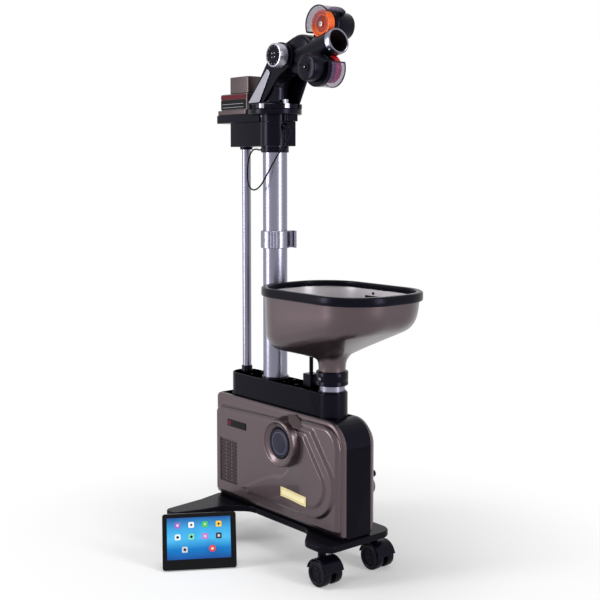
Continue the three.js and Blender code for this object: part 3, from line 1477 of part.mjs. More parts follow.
// Throwing wheels, their motors and the smoked guards round them
function wheelMotor() {
  const { radius, length, nose, shaftRadius, capRadius, capHeight, round, shaftTip } = motor;
  return turned(
    [
      [0, shaftTip],
      [shaftRadius, shaftTip],
      [shaftRadius, nose],
      [radius - round, nose],
      [radius, nose + round],
      [radius, nose + length - round],
      [radius - round, nose + length],
      [capRadius, nose + length],
      [capRadius, nose + length + capHeight],
      [0, nose + length + capHeight],
    ],
    fine.full,
  );
}
function throwingWheel() {
  const { radius, halfWidth, treadDip, webRadius, webDish, hubRadius, bore } = throwWheel;
  const half = [
    [bore, halfWidth],
    [hubRadius, halfWidth],
    [hubRadius, halfWidth - webDish],
    [webRadius, halfWidth - webDish],
    [webRadius + webDish, halfWidth],
    [radius - treadDip, halfWidth],
    [radius, halfWidth - treadDip],
  ];
  const otherHalf = half.map(([r, z]) => [r, -z]).reverse();
  return turned([...half, ...otherHalf], fine.full);
}
function wheelGuard(start, end) {
  const { radius, thickness, halfWidth, wallFrom, wallThickness, hubRadius } = guard;
  return join(
    across(sector(radius, radius - thickness, start, end), -halfWidth, halfWidth, 0, fine.arc),
    across(sector(radius - thickness / 2, hubRadius, start, end), wallFrom, wallFrom + wallThickness, 0, fine.arc),
  );
}
const atTop = (geometry) => geometry.translate(throwWheel.along, 0, topWheelZ);
const atBottom = (geometry) => geometry.translate(throwWheel.along, 0, bottomWheelZ);
piece("top_motor", atTop(mirrorY(lieAlongY(wheelMotor()))), black, head);
piece("bottom_motor", atBottom(lieAlongY(wheelMotor())), black, head);
piece("top_wheel", atTop(lieAlongY(throwingWheel())), orange, head);
piece("bottom_wheel", atBottom(lieAlongY(throwingWheel())), red, head);
piece("top_guard", atTop(wheelGuard(guard.topStart, guard.topEnd)), smoked, head);
piece("bottom_guard", atBottom(mirrorY(wheelGuard(guard.bottomStart, guard.bottomEnd))), smoked, head);

// Tablet controller: it leans back on a moulded stand
const tabletGroup = new THREE.Group();
tabletGroup.position.set(tablet.x, tablet.y, 0);
tabletGroup.rotation.z = tablet.yaw;
robot.add(tabletGroup);
const leanBack = (geometry) => geometry.rotateX(-tablet.lean);
const underFloor = brick(-tablet.width, -tablet.height, -tablet.height, tablet.width, tablet.height, 0);
function tabletCase() {
  const { width, height, depth, corner, round, screenLeft, screenRight, screenTop, screenBottom, screenDepth } = tablet;
  const bodyOfCase = across(rectangle(-width / 2, 0, width / 2, height, corner), 0, depth, round, 3);
  const screenSeat = brick(-width / 2 + screenLeft, -overrun, screenBottom, width / 2 - screenRight, screenDepth + gap, height - screenTop);
  return cut(leanBack(cut(bodyOfCase, screenSeat)).translate(0, 0, depth * Math.sin(tablet.lean) - round), underFloor);
}
piece("tablet_case", tabletCase(), black, tabletGroup);
function tabletScreen() {
  const { width, height, depth, round, screenLeft, screenRight, screenTop, screenBottom, screenDepth } = tablet;
  const glass = brick(-width / 2 + screenLeft + gap, 0, screenBottom + gap, width / 2 - screenRight - gap, screenDepth, height - screenTop - gap);
  return leanBack(glass).translate(0, 0, depth * Math.sin(tablet.lean) - round);
}
piece("tablet_screen", tabletScreen(), screenBlue, tabletGroup);
function tabletStand() {
  const { depth, lean, standWidth, standTop, standFoot, standThickness, round } = tablet;
  const backAt = (z) => (depth + gap + (z - depth * Math.sin(lean) + round) * Math.sin(lean)) / Math.cos(lean) + gap;
  const shape = new THREE.Shape();
  shape.moveTo(standFoot, 0);
  shape.lineTo(standFoot + standThickness, 0);
  shape.lineTo(backAt(standTop) + standThickness, standTop);
  shape.lineTo(backAt(standTop), standTop);
  shape.lineTo(backAt(standTop - 3 * standThickness), standTop - 3 * standThickness);
  shape.closePath();
  return along(shape, -standWidth / 2, standWidth / 2);
}
piece("tablet_stand", tabletStand(), black, tabletGroup);

// The finished part stands with its origin at the bottom centre of its box
robot.updateMatrixWorld(true);
const wholeBox = new THREE.Box3();
robot.traverse((item) => {
  if (item.isMesh && item.name !== "head_cable") wholeBox.expandByObject(item, true);
});
const middle = wholeBox.getCenter(new THREE.Vector3());
const part = new THREE.Group();
robot.position.set(-middle.x, -middle.y, -wholeBox.min.z);
part.add(robot);

export default part;
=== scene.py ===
import json
import math
from math import cos, pi, radians, sin

import bmesh
import bpy
import numpy as np
from mathutils import Matrix, Vector
from mathutils.geometry import delaunay_2d_cdt

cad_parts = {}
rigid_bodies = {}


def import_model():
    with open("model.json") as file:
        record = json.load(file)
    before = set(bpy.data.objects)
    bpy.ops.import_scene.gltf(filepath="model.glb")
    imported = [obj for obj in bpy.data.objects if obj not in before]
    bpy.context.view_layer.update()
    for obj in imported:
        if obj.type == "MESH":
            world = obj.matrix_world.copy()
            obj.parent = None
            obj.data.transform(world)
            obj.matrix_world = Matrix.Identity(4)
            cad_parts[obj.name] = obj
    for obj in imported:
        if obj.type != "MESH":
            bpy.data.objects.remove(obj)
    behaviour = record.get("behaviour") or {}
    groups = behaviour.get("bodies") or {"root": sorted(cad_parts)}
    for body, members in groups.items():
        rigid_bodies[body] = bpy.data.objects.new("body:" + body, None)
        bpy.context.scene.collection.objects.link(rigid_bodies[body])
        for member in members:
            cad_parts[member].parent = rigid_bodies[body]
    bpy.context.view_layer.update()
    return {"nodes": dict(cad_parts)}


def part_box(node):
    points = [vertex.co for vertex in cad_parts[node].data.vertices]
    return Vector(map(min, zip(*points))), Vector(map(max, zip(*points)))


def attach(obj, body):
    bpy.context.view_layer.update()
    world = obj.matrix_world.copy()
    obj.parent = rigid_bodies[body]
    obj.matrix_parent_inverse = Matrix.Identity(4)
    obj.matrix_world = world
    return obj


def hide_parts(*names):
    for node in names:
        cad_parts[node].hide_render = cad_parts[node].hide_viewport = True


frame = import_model()

MM = 0.001
tower_low, tower_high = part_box("tower_tube")
AXIS = Vector(((tower_low[0] + tower_high[0]) / 2, (tower_low[1] + tower_high[1]) / 2, 0))
WORLD = Matrix.Translation(AXIS) @ Matrix.Scale(MM, 4)
TURN = {
    "+z": Matrix.Identity(4),
    "-y": Matrix.Rotation(pi / 2, 4, "X"),
    "+y": Matrix.Rotation(-pi / 2, 4, "X"),
    "+x": Matrix.Rotation(pi / 2, 4, "Y"),
}

# Places that several pieces share
DECK_TOP = 351
HOPPER_X = 177
CABLE_TUBE_X = -97
SHELL_FACE = 31.3
SHELL_START = 4.6
DRUM_X, DRUM_Z = 177, 177
BOSS_X, BOSS_Z = 98, 243.5
MEDALLION_SEAT = 35.2


def spot(x, y, z):
    return WORLD @ Vector((x, y, z))


def shift(x, y, z):
    return Matrix.Translation((x, y, z))


def spin(degrees, axis="Z"):
    return Matrix.Rotation(radians(degrees), 4, axis)


def at(x, y, z, toward="+z"):
    return shift(x, y, z) @ TURN[toward]


def linked(name, data):
    """A new object of the scene."""
    made = bpy.data.objects.new(name, data)
    bpy.context.scene.collection.objects.link(made)
    return made


# Camera at the photograph's viewing angle
CAMERA_AZIMUTH = radians(49.95)
CAMERA_PITCH = radians(3.79)
CAMERA_PIXELS = 1063.1
CAMERA_SIDE, CAMERA_DEPTH, CAMERA_HEIGHT = -51.18, 2186.5, 782.5
SHIFT_PIXELS = 60
FRAME_PIXELS = 600


def photo_camera():
    data = bpy.data.cameras.new("photo_camera")
    data.sensor_width = 36
    data.lens = CAMERA_PIXELS / FRAME_PIXELS * data.sensor_width
    data.shift_y = -SHIFT_PIXELS / FRAME_PIXELS
    data.clip_end = 100
    camera = linked("photo_camera", data)
    bpy.context.scene.camera = camera
    sine, cosine = sin(CAMERA_AZIMUTH), cos(CAMERA_AZIMUTH)
    x = -CAMERA_SIDE * cosine + CAMERA_DEPTH * sine
    y = -CAMERA_SIDE * sine - CAMERA_DEPTH * cosine
    camera.location = spot(x, y, CAMERA_HEIGHT)
    camera.rotation_euler = (pi / 2 - CAMERA_PITCH, 0, CAMERA_AZIMUTH)


photo_camera()


# Materials
def node(tree, kind, values=None, **settings):
    """A new shader node with its settings and its input values."""
    made = tree.nodes.new("ShaderNode" + kind)
    for name, value in settings.items():
        setattr(made, name, value)
    return fill(made, values or {})


def fill(made, values):
    for name, value in values.items():
        made.inputs[name].default_value = value
    return made


def join(tree, *pairs):
    """Link each (node, output) to its (node, input)."""
    for source, output, target, into in pairs:
        tree.links.new(source.outputs[output], target.inputs[into])


def new_material(name):
    made = bpy.data.materials.new(name)
    made.use_nodes = True
    return made, made.node_tree, made.node_tree.nodes["Principled BSDF"]


def srgb(*channels):
    linear = [c / 255 for c in channels]
    return (*[c / 12.92 if c <= 0.04045 else ((c + 0.055) / 1.055) ** 2.4 for c in linear], 1)


def surface(
    name, channels, roughness, metallic=0, darker=0.82, mottle=90, grain=900, bump=0.04, spread=0.06,
    coat=0, stretch=(1, 1, 1), alpha=1, specular=0.5,
):
    """A finish whose tint, gloss and relief vary a little over the surface."""
    made, tree, shader = new_material(name)
    color = srgb(*channels)
    fill(shader, {"Metallic": metallic, "Coat Weight": coat, "Coat Roughness": 0.06})
    fill(shader, {"Alpha": alpha, "Specular IOR Level": specular})
    place = node(tree, "TexCoord")
    mapping = node(tree, "Mapping", {"Scale": stretch})
    broad = node(tree, "TexNoise", {"Scale": mottle, "Detail": 3})
    fine = node(tree, "TexNoise", {"Scale": grain, "Detail": 2})
    shade = [c * darker for c in color[:3]] + [1]
    tint = node(tree, "Mix", {"A": shade, "B": color}, data_type="RGBA")
    low, high = max(0.02, roughness - spread), roughness + spread
    gloss = node(tree, "MapRange", {"To Min": low, "To Max": high})
    join(
        tree,
        (place, "Object", mapping, "Vector"),
        (mapping, "Vector", broad, "Vector"),
        (mapping, "Vector", fine, "Vector"),
        (broad, "Fac", tint, "Factor"),
        (tint, "Result", shader, "Base Color"),
        (fine, "Fac", gloss, "Value"),
        (gloss, "Result", shader, "Roughness"),
    )
    if bump:
        relief = node(tree, "Bump", {"Strength": bump, "Distance": 0.0004})
        join(tree, (fine, "Fac", relief, "Height"), (relief, "Normal", shader, "Normal"))
    return made


# Each row: colour, roughness, metallic, darker share, mottle and grain scales, bump, spread of the roughness
BRONZE = surface(
    "bronze_lacquer", (86, 73, 77), 0.35, 0.9, 0.94, 40, 2600, 0.012, 0.03, coat=0.35, specular=0.3
)
BRONZE_DARK = surface("bronze_case", (84, 74, 76), 0.34, 0.85, 0.9, 60, 1500, 0.04, 0.05, specular=0.2)
INSIDE = surface("bowl_inside", (190, 186, 190), 0.36, 0.35, 0.94, 30, 900, 0.02, specular=0.3)
BLACK = surface("black_gloss", (9, 8, 17), 0.24, 0, 0.75, 60, 1400, 0.03, 0.04, specular=0.1)
BLACK_PIPE = surface("black_pipe", (12, 12, 18), 0.24, 0, 0.75, 60, 1400, 0.03, 0.04, specular=0.22)
BLACK_SATIN = surface("black_satin", (12, 12, 20), 0.36, 0, 0.75, 80, 1800, 0.08, 0.06, specular=0.07)
BLACK_PAINT = surface("black_paint", (13, 13, 19), 0.28, 0, 0.8, 70, 1700, 0.04, 0.05, specular=0.06)
RUBBER = surface("rim_rubber", (12, 12, 19), 0.26, 0, 0.7, 60, 1300, 0.06, 0.06, specular=0.08)
TYRE = surface("caster_tread", (13, 13, 20), 0.3, 0, 0.7, 90, 1100, 0.08, 0.06, specular=0.09)
SILVER = surface("silver_tube", (128, 127, 143), 0.3, 1, 0.95, 8, 260, 0.006, 0.04, stretch=(40, 40, 1))
SILVER_PLATE = surface("silver_plate", (150, 149, 160), 0.3, 0.8, 0.9, 30, 900, 0.01, 0.04)
STEEL = surface("bare_steel", (150, 150, 160), 0.3, 0.95, 0.85, 60, 900, 0.05, 0.06)
KNURL = surface("knurled_rim", (168, 167, 180), 0.26, 0.55, 0.75, 90, 1200, 0.05, 0.05)
WHITE = surface("moulded_white", (214, 212, 206), 0.45, 0, 0.93, 50, 1000, 0.04)
GREEN = surface("board_green", (30, 88, 56), 0.4, 0, 0.8, 160, 900, 0.04)
ORANGE = surface("orange_tread", (232, 98, 34), 0.36, 0, 0.8, 120, 1400, 0.12, 0.08, specular=0.25)
# Painted shade: a darker copy of the orange for the wheel's sunk web and lip rings
ORANGE_RING_SHADE = surface("orange_ring_painted_shade", (150, 48, 28), 0.4, 0, 0.8, 120, 1400, 0.1, 0.06, specular=0.2)
RED = surface("red_tread", (196, 26, 30), 0.36, 0, 0.8, 120, 1400, 0.12, 0.08, specular=0.2)
# Painted shade: a darker copy of the red for the wheel's sunk web and lip rings
RED_RING_SHADE = surface("red_ring_painted_shade", (70, 8, 14), 0.4, 0, 0.8, 120, 1400, 0.1, 0.06, specular=0.15)
RED_BAND = surface("red_band", (88, 18, 32), 0.3, 0, 0.85, 60, 1100, 0.03, specular=0.12)
GOLD = surface("gold_plate", (222, 206, 152), 0.34, 0.2, 0.93, 30, 1600, 0.02)
GOLD_LIGHT = surface("gold_panel", (240, 228, 180), 0.34, 0.2, 0.95, 30, 1600, 0.02)
MEDALLION = surface("medallion_face", (38, 37, 54), 0.3, 0, 0.8, 200, 1200, 0.04, specular=0.12)
MEDALLION_RING = surface("medallion_ring", (92, 90, 112), 0.34, 0.2, 0.85, 200, 1200, 0.03, specular=0.2)
# Painted shade: a dark matte colour for the insides of holes and bores, where shade falls
HOLE_SHADE = surface("hole_painted_shade", (38, 28, 30), 0.6, 0, 0.7, 60, 900, 0.1, specular=0.08)
SMOKED = surface("smoked_guard", (106, 84, 120), 0.06, 0, 0.9, 40, 500, 0, 0.02, alpha=0.34, specular=0.2)
GUARD_WALL = surface("guard_wall", (100, 80, 116), 0.06, 0, 0.9, 40, 500, 0, 0.02, alpha=0.2, specular=0.2)
GUARD_EDGE = surface(
    "guard_edge", (22, 22, 38), 0.15, 0, 0.85, 60, 600, 0.02, 0.04, alpha=0.94, specular=0.15
)
GLASS_BLACK = surface("bezel_gloss", (15, 15, 18), 0.14, 0, 0.8, 60, 900, 0.01, 0.03, specular=0.1)

for dark in (BLACK, BLACK_PIPE, BLACK_SATIN, BLACK_PAINT, RUBBER, TYRE):
    fill(dark.node_tree.nodes["Principled BSDF"], {"Specular Tint": (0.7, 0.68, 1, 1)})


def screen_material():
    made, tree, shader = new_material("screen_glow")
    fill(shader, {"Roughness": 0.18, "Emission Strength": 0.12, "Specular IOR Level": 0.2})
    place = node(tree, "TexCoord")
    split = node(tree, "SeparateXYZ")
    band = node(tree, "MapRange", {"From Min": 0.02, "From Max": 0.1})
    ramp = node(tree, "ValToRGB")
    stops = ramp.color_ramp.elements
    stops[0].position, stops[0].color = 0, srgb(18, 66, 136)
    stops[1].position, stops[1].color = 1, srgb(22, 66, 136)
    for share, channels in ((0.25, (6, 112, 182)), (0.5, (74, 176, 224)), (0.72, (60, 158, 212))):
        stops.new(share).color = srgb(*channels)
    haze = node(tree, "TexNoise", {"Scale": 22, "Detail": 2})
    blend = node(tree, "Mix", {"Factor": 0.5}, data_type="RGBA", blend_type="SOFT_LIGHT")
    join(
        tree,
        (place, "Object", split, "Vector"),
        (split, "Z", band, "Value"),
        (band, "Result", ramp, "Fac"),
        (place, "Object", haze, "Vector"),
        (ramp, "Color", blend, "A"),
        (haze, "Fac", blend, "B"),
        (blend, "Result", shader, "Base Color"),
        (blend, "Result", shader, "Emission Color"),
    )
    return made


SCREEN = screen_material()

# A finish is a material, or a material with its slot in the frame
PLASTIC = (BLACK, "black_plastic")
BLACK_METAL = (BLACK, "black_metal")
PAINTED = (BLACK_PAINT, "black_metal")
LACQUER = (BRONZE, "bronze_plastic")
CASE = (BRONZE_DARK, "bronze_plastic")
CHROME = (SILVER, "silver_tube")


# Meshes
def add(name, geometry, finish, body, node_name=None, place=None, angle=38, bevel=None):
    """One piece on its body. A bevel is a width, or a width and a count of segments."""
    verts, faces = geometry
    matrix = WORLD if place is None else WORLD @ place
    mesh = bpy.data.meshes.new(name)
    mesh.from_pydata([matrix @ Vector(v) for v in verts], [], faces)
    work = bmesh.new()
    work.from_mesh(mesh)
    bmesh.ops.remove_doubles(work, verts=work.verts, dist=1e-6)
    bmesh.ops.recalc_face_normals(work, faces=work.faces)
    work.to_mesh(mesh)
    work.free()
    mesh.shade_smooth()
    made = linked(name, mesh)
    if bevel:
        width, segments = bevel if isinstance(bevel, tuple) else (bevel, 3)
        edge = made.modifiers.new("edge", "BEVEL")
        edge.width = width * MM
        edge.segments = segments
        edge.limit_method = "ANGLE"
        edge.angle_limit = radians(angle)
        edge.harden_normals = True
        edge.use_clamp_overlap = True
    else:
        mesh.set_sharp_from_angle(angle=radians(angle))
    material, slot = finish if isinstance(finish, tuple) else (finish, None)
    mesh.materials.append(material)
    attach(made, body)
    if node_name:
        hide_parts(node_name)
    return made


def rounded(corners, steps=8):
    """The outline with an arc at each corner that carries a radius."""
    points = []
    count = len(corners)
    for i, corner in enumerate(corners):
        here = np.array(corner[:2], float)
        radius = corner[2] if len(corner) > 2 else 0
        if not radius:
            points.append(tuple(here))
            continue
        before = np.array(corners[i - 1][:2], float) - here
        after = np.array(corners[(i + 1) % count][:2], float) - here
        before /= np.linalg.norm(before)
        after /= np.linalg.norm(after)
        half = math.acos(max(-1, min(1, float(before @ after)))) / 2
        start = here + before * radius / math.tan(half)
        end = here + after * radius / math.tan(half)
        between = before + after
        centre = here + between / np.linalg.norm(between) * radius / sin(half)
        first = math.atan2(*(start - centre)[::-1])
        last = math.atan2(*(end - centre)[::-1])
        turn = (last - first + pi) % (2 * pi) - pi
        for step in range(steps + 1):
            angle = first + turn * step / steps
            points.append((centre[0] + radius * cos(angle), centre[1] + radius * sin(angle)))
    return points


def rect(x0, y0, x1, y1, radius=0, steps=8):
    return rounded([(x0, y0, radius), (x1, y0, radius), (x1, y1, radius), (x0, y1, radius)], steps)


def arc(radius, start, end, x=0, y=0, steps=40):
    turns = [start + (end - start) * i / steps for i in range(steps + 1)]
    return [(x + radius * cos(turn), y + radius * sin(turn)) for turn in turns]


def circle(radius, x=0, y=0, sides=64, start=0):
    turns = [start + 2 * pi * i / sides for i in range(sides)]
    return [(x + radius * cos(turn), y + radius * sin(turn)) for turn in turns]


def stadium(left, right, radius, steps=28):
    return arc(radius, -pi / 2, pi / 2, right, 0, steps) + arc(radius, pi / 2, 1.5 * pi, left, 0, steps)


def mirrored(near):
    """The outline of the near half, closed by its mirror image."""
    return near + [(x, -y, *r) for x, y, *r in reversed(near)]


def lift(axis, a, b, level):
    return {"z": (a, b, level), "y": (a, level, b), "x": (level, a, b)}[axis]


def prism(outline, low, high, axis="z"):
    count = len(outline)
    verts = [lift(axis, a, b, level) for level in (low, high) for a, b in outline]
    faces = [tuple(range(count)), tuple(range(count, 2 * count))]
    faces += [(i, (i + 1) % count, count + (i + 1) % count, count + i) for i in range(count)]
    return verts, faces


def signed_distance(points, loop):
    """Distance from each point to the loop, above zero inside it."""
    points = np.asarray(points, float)
    starts = np.asarray(loop, float)
    ends = np.roll(starts, -1, axis=0)
    best = np.full(len(points), 1e9)
    crossing = np.zeros(len(points), bool)
    for (ax, ay), (bx, by) in zip(starts, ends):
        dx, dy = bx - ax, by - ay
        size = dx * dx + dy * dy
        if size < 1e-12:
            continue
        t = np.clip(((points[:, 0] - ax) * dx + (points[:, 1] - ay) * dy) / size, 0, 1)
        gap_x = points[:, 0] - ax - t * dx
        gap_y = points[:, 1] - ay - t * dy
        best = np.minimum(best, gap_x * gap_x + gap_y * gap_y)
        if abs(dy) > 1e-12:
            level = (ay > points[:, 1]) != (by > points[:, 1])
            left = points[:, 0] < (bx - ax) * (points[:, 1] - ay) / (by - ay) + ax
            crossing ^= level & left
    return np.where(crossing, 1, -1) * np.sqrt(best)


def close_loop(points, edges, loop):
    first = len(points)
    points += [Vector(p) for p in loop]
    edges += [(first + i, first + (i + 1) % len(loop)) for i in range(len(loop))]


def cut_out(points, edges, outline, holes, merge):
    """The merged points, and the triangles inside the outline and outside the holes."""
    flat, _, triangles = delaunay_2d_cdt(points, edges, [], 0, merge)[:3]
    plane = np.array([(p.x, p.y) for p in flat])
    centres = np.array([(plane[t[0]] + plane[t[1]] + plane[t[2]]) / 3 for t in triangles])
    keep = signed_distance(centres, outline) > 0
    for hole in holes:
        keep &= signed_distance(centres, hole) < 0
    return plane, [tuple(t) for t, kept in zip(triangles, keep) if kept]


def open_edges(triangles):
    """The edges that only one triangle uses."""
    used = {}
    for a, b, c in triangles:
        for one, two in ((a, b), (b, c), (c, a)):
            key = (min(one, two), max(one, two))
            used[key] = used.get(key, 0) + 1
    return [key for key, times in used.items() if times == 1]


def plate(outline, holes, low, high, axis="z"):
    points, edges = [], []
    for loop in (outline, *holes):
        close_loop(points, edges, loop)
    plane, kept = cut_out(points, edges, outline, holes, 1e-5)
    count = len(plane)
    verts = [lift(axis, a, b, level) for level in (low, high) for a, b in plane]
    faces = kept + [tuple(i + count for i in t) for t in kept]
    faces += [(a, b, b + count, a + count) for a, b in open_edges(kept)]
    return verts, faces


def lathe(profile, sides=64, closed=False, start=0, sweep=2 * pi):
    whole = abs(sweep - 2 * pi) < 1e-6
    columns = sides if whole else sides + 1
    verts, index = [], []
    for radius, level in profile:
        if radius < 1e-6:
            index.append([len(verts)] * columns)
            verts.append((0, 0, level))
            continue
        index.append(list(range(len(verts), len(verts) + columns)))
        for i in range(columns):
            angle = start + sweep * i / sides
            verts.append((radius * cos(angle), radius * sin(angle), level))
    faces = []
    pairs = list(zip(index, index[1:]))
    if closed:
        pairs.append((index[-1], index[0]))
    for lower, upper in pairs:
        for i in range(sides):
            j = (i + 1) % columns
            face = tuple(dict.fromkeys((lower[i], lower[j], upper[j], upper[i])))
            if len(face) > 2:
                faces.append(face)
    if not whole:
        faces += [tuple(row[0] for row in index), tuple(row[-1] for row in index)]
    return verts, faces


def loft(rings, closed=False, caps=False):
    count = len(rings[0])
    verts = [point for ring in rings for point in ring]
    faces = []
    for ring in range(len(rings) if closed else len(rings) - 1):
        below = ring * count
        above = ((ring + 1) % len(rings)) * count
        for i in range(count):
            j = (i + 1) % count
            faces.append((below + i, below + j, above + j, above + i))
    if caps:
        faces += [tuple(range(count)), tuple(range(len(verts) - count, len(verts)))]
    return verts, faces


def sweep_tube(path, radius, sides):
    """A tube along a path that lies in the XZ plane."""
    points = [Vector(p) for p in path]
    turns = [2 * pi * k / sides for k in range(sides)]
    across = Vector((0, 1, 0))
    rings = []
    for i, point in enumerate(points):
        ahead = (points[min(i + 1, len(points) - 1)] - points[max(i - 1, 0)]).normalized()
        other = ahead.cross(across)
        rings.append([tuple(point + (across * cos(a) + other * sin(a)) * radius) for a in turns])
    return loft(rings, caps=True)


def turned(name, profile, sides, finish, body, node_name=None, **looks):
    """A piece turned about its own axis. A profile that stays off the axis is closed to a ring."""
    closed = min(profile[0][0], profile[-1][0]) > 0
    return add(name, lathe(profile, sides, closed), finish, body, node_name, **looks)


def slab(name, outline, low, high, axis, finish, body, node_name=None, **looks):
    """A piece of one outline, drawn out along an axis."""
    return add(name, prism(outline, low, high, axis), finish, body, node_name, **looks)


def brick(x0, y0, z0, x1, y1, z1):
    return prism([(x0, y0), (x1, y0), (x1, y1), (x0, y1)], z0, z1)


def soft_pin(radius, length, edge=0.4):
    return [(0, 0), (radius, 0), (radius, length - edge), (radius - edge, length), (0, length)]


def screw_head(name, place, radius, body, material=STEEL, height=1.6):
    socket = radius * 0.45
    profile = [(0, 0), (radius, 0), (radius, height * 0.6), (radius * 0.8, height), (socket, height)]
    turned(name, profile + [(socket, height * 0.4), (0, height * 0.4)], 24, material, body, place=place)


# Free cable between the block and the tower's collar
CABLE_ROUTE = [
    (49.6, -2, 863.6), (52.9, -3.4, 857.6), (53.4, -7.6, 848.5), (50, -14.5, 836), (43, -22.5, 818),
    (33, -30.5, 797), (20, -36.5, 773), (5, -40, 752), (-11, -41.5, 742), (-27, -41, 743), (-40, -38.5, 754),
    (-48.5, -34.5, 772), (-52.5, -30, 793), (-52.6, -25.3, 811), (-48, -20.8, 822), (-41, -17.4, 824.6),
    (-35.2, -14.9, 823.3), (-30.2, -13.45, 823),
]
CABLE_DIAMETER = 3.2


def smooth_route(route, between=6):
    """A Catmull-Rom line through the route's points."""
    points = [Vector(p) for p in route]
    padded = [points[0] * 2 - points[1], *points, points[-1] * 2 - points[-2]]
    line = []
    for i in range(1, len(padded) - 2):
        p0, p1, p2, p3 = padded[i - 1 : i + 3]
        for step in range(between):
            t = step / between
            square = (2 * p0 - 5 * p1 + 4 * p2 - p3) * t * t
            cube = (3 * p1 - p0 - 3 * p2 + p3) * t**3
            line.append(0.5 * (2 * p1 + (p2 - p0) * t + square + cube))
    line.append(points[-1])
    return line


def cable():
    line = [WORLD @ p for p in smooth_route(CABLE_ROUTE)]
    curve = bpy.data.curves.new("head_cable_line", "CURVE")
    curve.dimensions = "3D"
    curve.bevel_depth = CABLE_DIAMETER / 2 * MM
    curve.bevel_resolution = 5
    curve.use_fill_caps = True
    strand = curve.splines.new("POLY")
    strand.points.add(len(line) - 1)
    for point, place in zip(strand.points, line):
        point.co = (*place, 1)
    strand.use_smooth = True
    made = linked("head_cable_line", curve)
    curve.materials.append(RUBBER)
    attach(made, "frame")
    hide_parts("head_cable")


cable()


# Side shells: a relief whose height follows the distance from each outline
def densify(loop, pitch):
    dense = []
    for (ax, ay), (bx, by) in zip(loop, loop[1:] + loop[:1]):
        count = max(1, int(math.hypot(bx - ax, by - ay) / pitch))
        dense += [(ax + (bx - ax) * i / count, ay + (by - ay) * i / count) for i in range(count)]
    return dense


def offset(loop, distance):
    points = np.asarray(loop, float)
    area = 0.5 * np.sum(points[:, 0] * np.roll(points[:, 1], -1) - np.roll(points[:, 0], -1) * points[:, 1])
    turn = 1 if area > 0 else -1
    moved_loop = []
    for i in range(len(loop)):
        before = points[i] - points[i - 1]
        after = points[(i + 1) % len(loop)] - points[i]
        before = before / (np.linalg.norm(before) + 1e-12)
        after = after / (np.linalg.norm(after) + 1e-12)
        inward = np.array([-(before[1] + after[1]), before[0] + after[0]]) * turn
        inward = inward / (np.linalg.norm(inward) + 1e-12)
        stretch = 1 / max(0.5, math.sqrt(max(0, (1 + float(before @ after)) / 2)))
        moved_loop.append(tuple(points[i] + inward * distance * stretch))
    return moved_loop


def relief_level(plane, layers):
    """Each layer adds its height inside its outline, over a slope of its width; a fade runs along X."""
    level = np.full(len(plane), SHELL_START)
    for outline, height, width, fade in layers:
        share = np.clip(signed_distance(plane, outline) / width, 0, 1)
        eased = share * share * (3 - 2 * share)
        fillet = np.sqrt(share * (2 - share))
        amount = height * (eased if fade else 0.3 * eased + 0.7 * fillet)
        if fade:
            from_x, to_x, least = fade
            along = np.clip((plane[:, 0] - from_x) / (to_x - from_x), 0, 1)
            amount = amount * (least + (1 - least) * along * along * (3 - 2 * along))
        level = level + amount
    return level


# How far across each slope the relief has its rows of points, and the pitches of its points
SLOPE_SHARES = (0, 0.03, 0.1, 0.22, 0.36, 0.5, 0.64, 0.78, 0.9, 1, 1.2)
RIM_PITCH, ROW_PITCH, GRID_PITCH = 5, 3.5, 9.0
EDGE_CLEARANCE, SLOPE_CLEARANCE = 0.4, 3
SKIRT_DEPTH = 3


def relief_points(layers, holes):
    """Points and edges along the outlines and the slopes, and a grid over the level parts."""
    rim = layers[0][0]
    points, edges = [], []

    def clear(loop):
        free = signed_distance(loop, rim) > EDGE_CLEARANCE
        for hole in holes:
            free &= signed_distance(loop, hole) < -EDGE_CLEARANCE
        return free

    for loop in (densify(rim, RIM_PITCH), *holes):
        close_loop(points, edges, loop)
    for outline, _, width, _ in layers:
        for share in SLOPE_SHARES:
            if outline is rim and not share:
                continue
            distance = share * width
            loop = offset(densify(outline, ROW_PITCH), distance)
            apart = np.abs(signed_distance(loop, outline) - distance) < 0.12 * abs(distance) + 0.05
            flags = apart & clear(loop)
            runs = [i for i in range(len(loop)) if flags[i]]
            first = len(points)
            points += [Vector(loop[i]) for i in runs]
            for k, i in enumerate(runs):
                following = (k + 1) % len(runs)
                if (runs[following] - i) % len(loop) == 1:
                    edges.append((first + k, first + following))
    xs = np.arange(min(p[0] for p in rim) + 5, max(p[0] for p in rim), GRID_PITCH)
    zs = np.arange(min(p[1] for p in rim) + 5, max(p[1] for p in rim), GRID_PITCH)
    grid = np.array([(x, z) for x in xs for z in zs])
    away = clear(grid)
    for outline, _, width, _ in layers:
        distance = signed_distance(grid, outline)
        away &= (distance < -SLOPE_CLEARANCE) | (distance > width * 1.2 + SLOPE_CLEARANCE)
    points += [Vector(p) for p in grid[away]]
    return points, edges


def relief_shell(name, layers, holes, node_name, side_sign):
    rim = layers[0][0]
    points, edges = relief_points(layers, holes)
    plane, faces = cut_out(points, edges, rim, holes, 1e-4)
    level = relief_level(plane, layers)
    verts = [(x, side_sign * (SHELL_FACE + h), z) for (x, z), h in zip(plane, level)]
    skirt = {}
    for a, b in open_edges(faces):
        for corner in (a, b):
            if corner not in skirt:
                skirt[corner] = len(verts)
                x, _, z = verts[corner]
                at_rim = signed_distance([(x, z)], rim)[0] < 0.5
                deep = 0.0 if at_rim else level[corner] - SKIRT_DEPTH
                verts.append((x, side_sign * (SHELL_FACE + deep), z))
        faces.append((a, b, skirt[b], skirt[a]))
    made = add(name, (verts, faces), LACQUER, "frame", node_name, angle=60)
    follow_slope(made.data, layers, side_sign)


